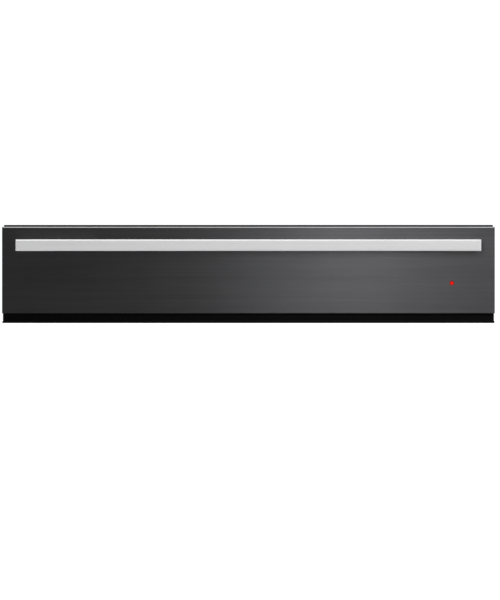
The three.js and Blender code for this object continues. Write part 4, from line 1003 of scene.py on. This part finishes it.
paint(zinc, "heater_comb_front", "heater_comb_rear")
aluminium = plated_steel("dull_aluminium", (0.62, 0.63, 0.64))
paint(aluminium, "thermal_cutout")


# ---------------------------------------------------------------- fan
# A radial fan behind the pan moves warm air. A stainless guard with a slotted intake covers its
# wheel, and a shaded-pole motor drives it from behind the cavity.

low, high = span("fan_cover")
ear = Vector((9, 0, 0))
ear_sheet = 1
ear_lap = 0.5
hood = (low + ear, high - ear)
hood_corner = 3
fan_radius = (fan_high.x - fan_low.x) / 2
outlet_x = hood[1].x - 32
holes = [slot_hole(0, fan_z + z, 2 * math.sqrt(fan_radius ** 2 - z ** 2), 4) for z in centred_row(7, 8)]
holes += [slot_hole(side * outlet_x + x, fan_z, 4, 45) for side in (-1, 1) for x in centred_row(4, 16)]
rim_front = low.y + 0.2
fan_guard = piece_of("fan_guard", together(
    panel("y", hood[0], (hood[1].x, low.y + ear_sheet, high.z), hood_corner, holes=holes),
    drawn("y", hood, [
        (rim_front, 0, hood_corner),
        (high.y, 0, hood_corner),
        (high.y, ear_sheet, hood_corner - ear_sheet),
        (rim_front, ear_sheet, hood_corner - ear_sheet),
    ], ring=True),
    block((low.x, high.y - ear_sheet, low.z), (hood[0].x + ear_lap, high.y, high.z)),
    block((hood[1].x - ear_lap, high.y - ear_sheet, low.z), high),
), stainless)
fit(fan_guard, "housing", "stainless_sheet", "fan_cover")
screw_x = high.x - ear.x / 2
places = [(x, high.y - ear_sheet, fan_z + rise) for x in (-screw_x, screw_x) for rise in (-30, 30)]
screws("guard_screws", "housing", (0, -1, 0), places)
paint(aluminium, "fan_wheel")
paint(zinc, "fan_shaft")


def laminated_iron(name):
    """A stack of punched iron sheets, seen from its edges."""
    finish = Finish(name, Metallic=0.9)
    wave = {"Vector": finish.place(), "Scale": 300, "Distortion": 0}
    layers = finish.node("TexWave", {"bands_direction": "Y"}, wave, "Fac")
    rust = finish.noise(90, 4)
    tone = finish.blend(rust, (0.16, 0.15, 0.14), (0.33, 0.33, 0.34))
    finish.feed(Base_Color=tone, Roughness=0.5 + rust * 0.2)
    finish.relief(layers, 0.15)
    return finish.material


def wound_copper(name):
    """Enamelled copper wire, wound in close turns, with painted shade in the troughs between them."""
    finish = Finish(name, Metallic=0.8, Roughness=0.35, Coat_Weight=0.4)
    wave = {"Vector": finish.place(), "Scale": 420, "Distortion": 0.4}
    turns = finish.node("TexWave", {"bands_direction": "Z"}, wave, "Fac")
    # Painted shade: the colour darkens where the relief dips between the turns.
    finish.feed(Base_Color=finish.blend(turns, (0.3, 0.09, 0.03), (0.72, 0.3, 0.12)))
    finish.relief(turns, 0.25)
    return finish.material


low, high = span("fan_motor")
stack_y = [low.y + 8, low.y + 25]
stack_rise = 24  # above and below the shaft
stack_top = fan_z + stack_rise
half_coil = 13
coil_y = [sum(stack_y) / 2 - 12, sum(stack_y) / 2 + 12]
shaft_radius, cup_face, cup_radius = 3, 12, 15
stack = block((low.x, stack_y[0], fan_z - stack_rise), (high.x, stack_y[1], stack_top))
stack = piece_of("motor_stack", stack, laminated_iron("laminated_iron"), 1.5)
fit(stack, "housing", "motor_iron", "fan_motor")
coil = block((-half_coil, coil_y[0], stack_top - half_coil), (half_coil, coil_y[1], high.z))
fit(piece_of("motor_coil", coil, wound_copper("copper_winding"), 2.5, 3), "housing", "motor_iron")
cups = piece_of("motor_bearing_cups", turned([
    (shaft_radius, low.y),
    (cup_face, low.y),
    (cup_radius, low.y + 3),
    (cup_radius, stack_y[0] + 1),
    (cup_radius, stack_y[1] + 1),
    (cup_face + 1, high.y),
    (shaft_radius, high.y),
], (0, 0, fan_z), ring=True), zinc)
fit(cups, "housing", "zinc_plate")


# ---------------------------------------------------------------- telescopic slides
# The pan runs on two full-extension slides of rolled and plated steel. Each has an outer, a middle
# and an inner member, with a caged row of steel balls above and below between each two.

def folded(corners, sheet, inner=0.5, steps=4):
    """Outline of a sheet folded square along a line of (u, v) corners, with the sheet on its left."""
    points = [Vector(corner) for corner in corners]
    legs_of = [(b - a).normalized() for a, b in zip(points, points[1:])]
    left = [Vector((-leg.y, leg.x)) for leg in legs_of]
    line, other = [points[0]], [points[0] + left[0] * sheet]
    for i, corner in enumerate(points[1:-1]):
        before, after = legs_of[i], legs_of[i + 1]
        leftwards = before.cross(after) > 0
        near = inner + sheet if leftwards else inner
        far = inner if leftwards else inner + sheet
        shifted = corner + (left[i] + left[i + 1]) * sheet
        for path, fold, radius in ((line, corner, near), (other, shifted, far)):
            middle = fold - before * radius + after * radius
            for step in range(steps + 1):
                angle = math.pi / 2 * step / steps
                path.append(middle - after * radius * math.cos(angle) + before * radius * math.sin(angle))
    line.append(points[-1])
    other.append(points[-1] + left[-1] * sheet)
    return [tuple(point) for point in line + other[::-1]]


slide_low, slide_high = span("slide_inner_left")
slide_z = (slide_low.z + slide_high.z) / 2
slide_sheet = 1.2
slide_lip = 1.5


def channel(back, face, half, lip=0.0, sheet=slide_sheet, fold=0.4):
    """A slide member's section, from its back, its flanges' ends, its half height and its lips."""
    line = [(face, half), (back, half), (back, -half), (face, -half)]
    if lip:
        line = [(face, half - sheet - lip), *line, (face, -half + sheet + lip)]
    if face < back:
        line.reverse()
    return folded([(x, slide_z + rise) for x, rise in line], sheet, fold)


def member(name, node, body, opens_inwards, lip=0.0):
    """One member of each slide, from its node's box."""
    low, high = span(f"{node}_left")
    back, face = (low.x, high.x) if opens_inwards else (high.x, low.x)
    section = channel(back, face, (high.z - low.z) / 2, lip)
    fit_pair(name, sheet_of(section, "y", low.y, high.y, edge=0.1), zinc, body, "zinc_plate", node)


member("slide_rail_outer", "slide_outer", "housing", True, slide_lip)
member("slide_rail_middle", "slide_middle", "slide_stage_{}", True, slide_lip)
member("slide_rail_inner", "slide_inner", "drawer", False)

ball_radius = 1.8
ball_pitch = 32
balls_in_row = 4
cage_sheet = 0.6
cage_margin = 6
for stage in ("outer", "inner"):
    low, high = span(f"ball_cage_{stage}_left")
    ball_x = high.x - ball_radius
    row_rise = (high.z - low.z) / 2 - ball_radius
    strip = channel(low.x, ball_x + 0.9, row_rise + 0.3, sheet=cage_sheet, fold=0.3)
    shapes = [sheet_of(strip, "y", low.y, high.y, edge=0.05)]
    for rise in (-row_rise, row_rise):
        for index in range(balls_in_row):
            ball = bmesh.new()
            bmesh.ops.create_icosphere(ball, subdivisions=3, radius=ball_radius)
            centre = (ball_x, low.y + cage_margin + index * ball_pitch, slide_z + rise)
            bmesh.ops.translate(ball, vec=centre, verts=ball.verts)
            shapes.append(ball)
    body = stage + "_cage_{}"
    fit_pair(f"caged_balls_{stage}", together(*shapes), zinc, body, "zinc_plate", f"ball_cage_{stage}")


# ---------------------------------------------------------------- pan
# The pan holds the dishes: a stainless floor between two folded sides with turned-out rims, and a
# back that is slotted where the fan blows. Screws through its sides hold it to the slides.

pan_steel = brushed_metal("pan_steel", (0.64, 0.64, 0.65), "y", 0.34, 0.06, 0.015)
bottom = piece_of("pan_bottom", panel("z", *span("pan_floor")), pan_steel)
fit(bottom, "drawer", "stainless_sheet", "pan_floor")

low, high = span("pan_side_left")
pan_sheet = 1
rim = 8
web_in = low.x + rim + pan_sheet
web_out = web_in - 0.5
wall_line = [(high.x, low.z + pan_sheet), (web_in, low.z + pan_sheet), (web_in, high.z), (low.x, high.z)]
fit_pair("pan_wall", together(
    sheet_of(folded(wall_line, pan_sheet, 0.8), "y", low.y, high.y, edge=0.12),
    block((web_out, high.y - pan_sheet, low.z + pan_sheet), (high.x, high.y, high.z - pan_sheet)),
    block((low.x, low.y, low.z + pan_sheet), (web_out, low.y + pan_sheet, high.z - pan_sheet)),
), pan_steel, "drawer", "stainless_sheet", "pan_side")
slide_screw_y = [low.y + 37, low.y + 232, low.y + 417]
for side, facing in (("left", 1), ("right", -1)):
    places = [(facing * web_in, y, slide_z) for y in slide_screw_y]
    screws(f"pan_screws_{side}", "drawer", (facing, 0, 0), places)

holes = [slot_hole(x, fan_z, 8, 40) for x in centred_row(13, 18)]
rear_wall = piece_of("pan_rear_wall", panel("y", *span("pan_back"), 0.8, 2, holes), stainless)
fit(rear_wall, "drawer", "stainless_sheet", "pan_back")


# ---------------------------------------------------------------- non-slip mat
# A loose mat of grey silicone lies on the pan's floor, so that plates don't slide when the drawer
# is pulled. It is moulded with fine cross ribs inside a plain border.

low, high = span("non_slip_mat")
rib_rise = 0.7
rib_pitch = 6
rib_foot, rib_crest = 1.4, 0.7  # half their widths
border = 9
mat_corner = 6
mat_top = high.z - rib_rise
rib_root = mat_top - 0.2
rib_count = int((high.y - low.y - 2 * border) / rib_pitch)
shapes = [panel("z", low, (high.x, high.y, mat_top), mat_corner, 6, edge=0.4)]
for rib in centred_row(rib_count, rib_pitch):
    y = (low.y + high.y) / 2 + rib
    section = [(y - rib_foot, rib_root), (y + rib_foot, rib_root),
               (y + rib_crest, high.z), (y - rib_crest, high.z)]
    shapes.append(lofted([stand("x", section, x) for x in (low.x + border, high.x - border)]))
mat_silicone = silicone_rubber("mat_silicone", (0.03, 0.032, 0.034))
mat = piece_of("ribbed_mat", together(*shapes), mat_silicone, 0.15, 1)
fit(mat, "drawer", "silicone_grey", "non_slip_mat")


# ---------------------------------------------------------------- control recess
# Behind the front, to the right of the opening, a black moulded tub holds the controls: a knob for
# the temperature over the pilot lamp, and a rocker switch below. Its floor carries a printed dial.

low, high = tub_box
tub_wall = 1.5
tub_face = high.y - tub_wall
tub_flange = tub_rim - 0.2
tub_corner = 2.5
profile = []
for along, grown in (
    (tub_face, -0.4),
    (low.y, 0),
    (low.y, tub_flange),
    (low.y + tub_wall, tub_flange),
    (low.y + tub_wall, tub_wall),
    (high.y, tub_wall),
):
    profile.append((along, tub_rim - grown, tub_corner + grown))
fit(piece_of("control_tub", drawn("y", tub_box, profile), black_plastic, 0.3),
    "housing", "black_plastic", "control_fascia")

white_ink = Finish("white_ink", Roughness=0.6)
wear = white_ink.noise(260, 4)
white_ink.feed(Base_Color=white_ink.blend(wear, (0.66, 0.66, 0.63), (0.84, 0.84, 0.82)))
knob_low, knob_high = span("temperature_knob")
dial_centre = Vector(((knob_low.x + knob_high.x) / 2, (knob_low.z + knob_high.z) / 2))
dial_start = -135  # degrees clockwise from the top
dial_sweep = 270
dial_steps = 4
ticks_in_step = 4
tick_from = 16.2
number_radius = 20.6
number_size = 3.4
ink = 0.12


def towards(degrees):
    """The direction on the dial that is so many degrees clockwise from its top."""
    angle = math.radians(degrees)
    return Vector((math.sin(angle), math.cos(angle)))


def printed_line(degrees, start, end, half, front, behind):
    """A line on the dial from one radius to another, as a thin shape."""
    out = towards(degrees)
    across = Vector((out.y, -out.x)) * half
    inner, outer = dial_centre + out * start, dial_centre + out * end
    corners = [inner - across, inner + across, outer + across, outer - across]
    return lofted([stand("y", corners, y) for y in (front, behind)])


def lettered(text, middle, size, y, depth):
    """Upright characters that face the front, as a shape."""
    curve = bpy.data.curves.new("text", "FONT")
    curve.body = text
    curve.size = size
    curve.align_x = "CENTER"
    curve.align_y = "CENTER"
    curve.extrude = depth
    return stand_up(shape_of(curve), "y", y, middle)


shapes = []
for tick in range(ticks_in_step * dial_steps + 1):
    degrees = dial_start + dial_sweep * tick / (ticks_in_step * dial_steps)
    tick_to, half = (17.3, 0.2) if tick % ticks_in_step else (18, 0.35)
    shapes.append(printed_line(degrees, tick_from, tick_to, half, tub_face - ink, tub_face + ink))
for number in range(dial_steps + 1):
    middle = dial_centre + towards(dial_start + dial_sweep * number / dial_steps) * number_radius
    shapes.append(lettered(str(number), middle, number_size, tub_face, ink))
fit(piece_of("dial_marks", together(*shapes), white_ink.material), "housing", "grey_plastic")


# ---------------------------------------------------------------- temperature knob
# The knob is moulded in black plastic with a fluted grip over a round skirt. A white line in its
# edge points at the dial. It is pressed on the steel shaft of the thermostat behind the tub.

grip_radius = 12
skirt_radius = (knob_high.x - knob_low.x) / 2
flutes = 30
points_in_flute = 4


def fluted(radius, y, depth):
    """A loop round the knob whose radius dips between the flutes' crests."""
    points = []
    for i in range(flutes * points_in_flute):
        angle = 2 * math.pi * i / (flutes * points_in_flute)
        reach = radius - depth * (0.5 - 0.5 * math.cos(flutes * angle))
        points.append((dial_centre.x + reach * math.cos(angle), dial_centre.y + reach * math.sin(angle)))
    return stand("y", points, y)


knob = piece_of("heat_knob", lofted([
    fluted(grip_radius - 3, knob_low.y + 0.5, 0),
    fluted(grip_radius - 2.2, knob_low.y, 0),
    fluted(grip_radius - 0.9, knob_low.y, 0.1),
    fluted(grip_radius - 0.2, knob_low.y + 0.6, 0.5),
    fluted(grip_radius, knob_low.y + 1.4, 0.7),
    fluted(grip_radius, knob_high.y - 4.2, 0.7),
    fluted(grip_radius + 0.5, knob_high.y - 3.2, 0),
    fluted(skirt_radius - 0.6, knob_high.y - 2.4, 0),
    fluted(skirt_radius, knob_high.y - 1.6, 0),
    fluted(skirt_radius, knob_high.y, 0),
]), black_plastic)
fit(knob, "knob", "black_plastic", "temperature_knob")

pointer = printed_line(dial_start, 4, grip_radius - 1.2, 0.5, knob_low.y - 0.05, knob_low.y + 1)
fit(piece_of("knob_pointer", pointer, white_ink.material), "knob", "grey_plastic")
paint(zinc, "thermostat_shaft")
paint(grey_plastic, "thermostat_body")


# ---------------------------------------------------------------- rocker switch and pilot lamp
# The on and off rocker turns on a pin in its bezel. Its upper half is marked with a bar and its
# lower half with a ring. The pilot lamp above it lights the guide in the front.

switch = span("switch_body")
switch_middle = (switch[0] + switch[1]) / 2
bezel_front, bezel_back = switch[0].y, tub_face - 0.02
body_inset = 2
well_inset = 4
well_depth = 11
bezel = piece_of("switch_bezel", drawn("y", switch, [
    (switch[1].y, body_inset, 0.6),
    (bezel_back, body_inset, 0.6),
    (bezel_back, 0, 1.6),
    (bezel_front, 0.4, 1.6),
    (bezel_front, well_inset, 0.5),
    (bezel_front + well_depth, well_inset, 0.5),
]), black_plastic, 0.15)
fit(bezel, "housing", "black_plastic", "switch_body")

pivot = Vector((switch_middle.x, bezel_front + 3, switch_middle.z))
rocker_tilt = math.radians(8)
half_width, half_height = 5.5, 8.5  # these and the next sizes are from the pin
crown = 4.5
dish = 1
shoulder = 3
foot_half = 5.1
curve_steps = 6
front_curve = [(-(crown + dish * (i / curve_steps) ** 2), half_height * i / curve_steps)
               for i in range(curve_steps, -curve_steps - 1, -1)]
profile = [(shoulder, -foot_half), (shoulder, foot_half), (-shoulder, half_height), *front_curve,
           (-shoulder, -half_height)]
rocker = together(
    sheet_of(profile, "x", -half_width, half_width, edge=0.35),
    rod(1.4, -7, 7, (0, 0, 0), "x", 20),
)
mark_front = -crown - 0.7
off_ring = [(1.25, mark_front), (1.6, mark_front), (1.6, -crown), (1.25, -crown)]
marks = together(
    block((-0.35, mark_front - 0.05, 3), (0.35, -crown, 6.2)),
    turned(off_ring, (0, 0, -4.9), "y", 28, ring=True),
)
lean = Matrix.Translation(pivot) @ Matrix.Rotation(-rocker_tilt, 4, "X")
for shape in (rocker, marks):
    bmesh.ops.transform(shape, matrix=lean, verts=shape.verts)
fit(piece_of("switch_rocker", rocker, black_plastic), "rocker", "black_plastic", "power_rocker")
fit(piece_of("switch_marks", marks, white_ink.material), "rocker", "grey_plastic")

low, high = span("pilot_lamp")
lamp_centre = Vector((lens_middle.x, low.y, lens_middle.z))
lamp_length = high.y - low.y
lamp_radius = 3
lamp_dome = 2
bezel_radius = 5
tub_at = tub_face - low.y
pilot_light = lit_plastic("pilot_light", (0.9, 0.08, 0.02), (0.45, 0.01, 0.01), lamp_centre, 4, 0.5)
pilot = piece_of("pilot_lamp_cap", turned([
    (0, lamp_length),
    (lamp_radius, lamp_length),
    (lamp_radius, tub_at),
    (bezel_radius, tub_at),
    (bezel_radius, tub_at - 1),
    (bezel_radius - 0.4, tub_at - 1.2),
    (lamp_radius, tub_at - 1.2),
    *arc(lamp_radius, -lamp_dome, lamp_dome),
], lamp_centre), pilot_light)
fit(pilot, "housing", "indicator_red", "pilot_lamp")


# ---------------------------------------------------------------- control board
# A circuit board stands on four spacers in the right-hand bay, beside the cavity wall. It carries
# a relay, a transformer, a capacitor and a row of connectors.

def circuit_board(name):
    """Green solder mask over copper tracks."""
    finish = Finish(name, Roughness=0.3)
    here = finish.place((0, 160, 160))
    tracks = finish.node("TexVoronoi", {"distance": "MANHATTAN"}, {"Vector": here, "Scale": 1})
    lines = finish.node("Math", {"operation": "PINGPONG"}, {0: tracks * 6, 1: 0.5}) > 0.3
    finish.feed(Base_Color=finish.blend(lines, (0.012, 0.1, 0.035), (0.03, 0.2, 0.07)))
    finish.relief(lines, 0.05)
    return finish.material


low, high = span("control_board")
board_x = [low.x + 7, low.x + 8.6]
board = block((board_x[0], low.y, low.z), (board_x[1], high.y, high.z))
board = piece_of("board_plate", board, circuit_board("green_board"), 0.2)
fit(board, "housing", "circuit_green", "control_board")
relay_blue = moulded_plastic("relay_blue", (0.02, 0.06, 0.2), 0.35)
for name, material, corner, size, rise in (
    ("board_relay", relay_blue, (14, 10), (19, 16), 15),
    ("board_transformer", grey_plastic, (46, 12), (32, 30), 22),
    ("board_connector", grey_plastic, (14, 54), (76, 8), 9),
):
    start = (board_x[1] - 0.2, low.y + corner[0], low.z + corner[1])
    end = (board_x[1] + rise, start[1] + size[0], start[2] + size[1])
    fit(piece_of(name, block(start, end), material, 0.8), "housing", "grey_plastic")
can = turned([(0, 0), (7, 0), (7, 17), (6.2, 18), (0, 17.6)], (board_x[1], low.y + 98, low.z + 24), "x", 32)
fit(piece_of("board_capacitor", can, black_plastic), "housing", "black_plastic")
spacer_inset = 5
spacers = [rod(2.5, 0, 7.1, (low.x, y, z), "x", 16)
           for y in (low.y + spacer_inset, high.y - spacer_inset)
           for z in (low.z + spacer_inset, high.z - spacer_inset)]
fit(piece_of("board_spacers", together(*spacers), grey_plastic), "housing", "grey_plastic")
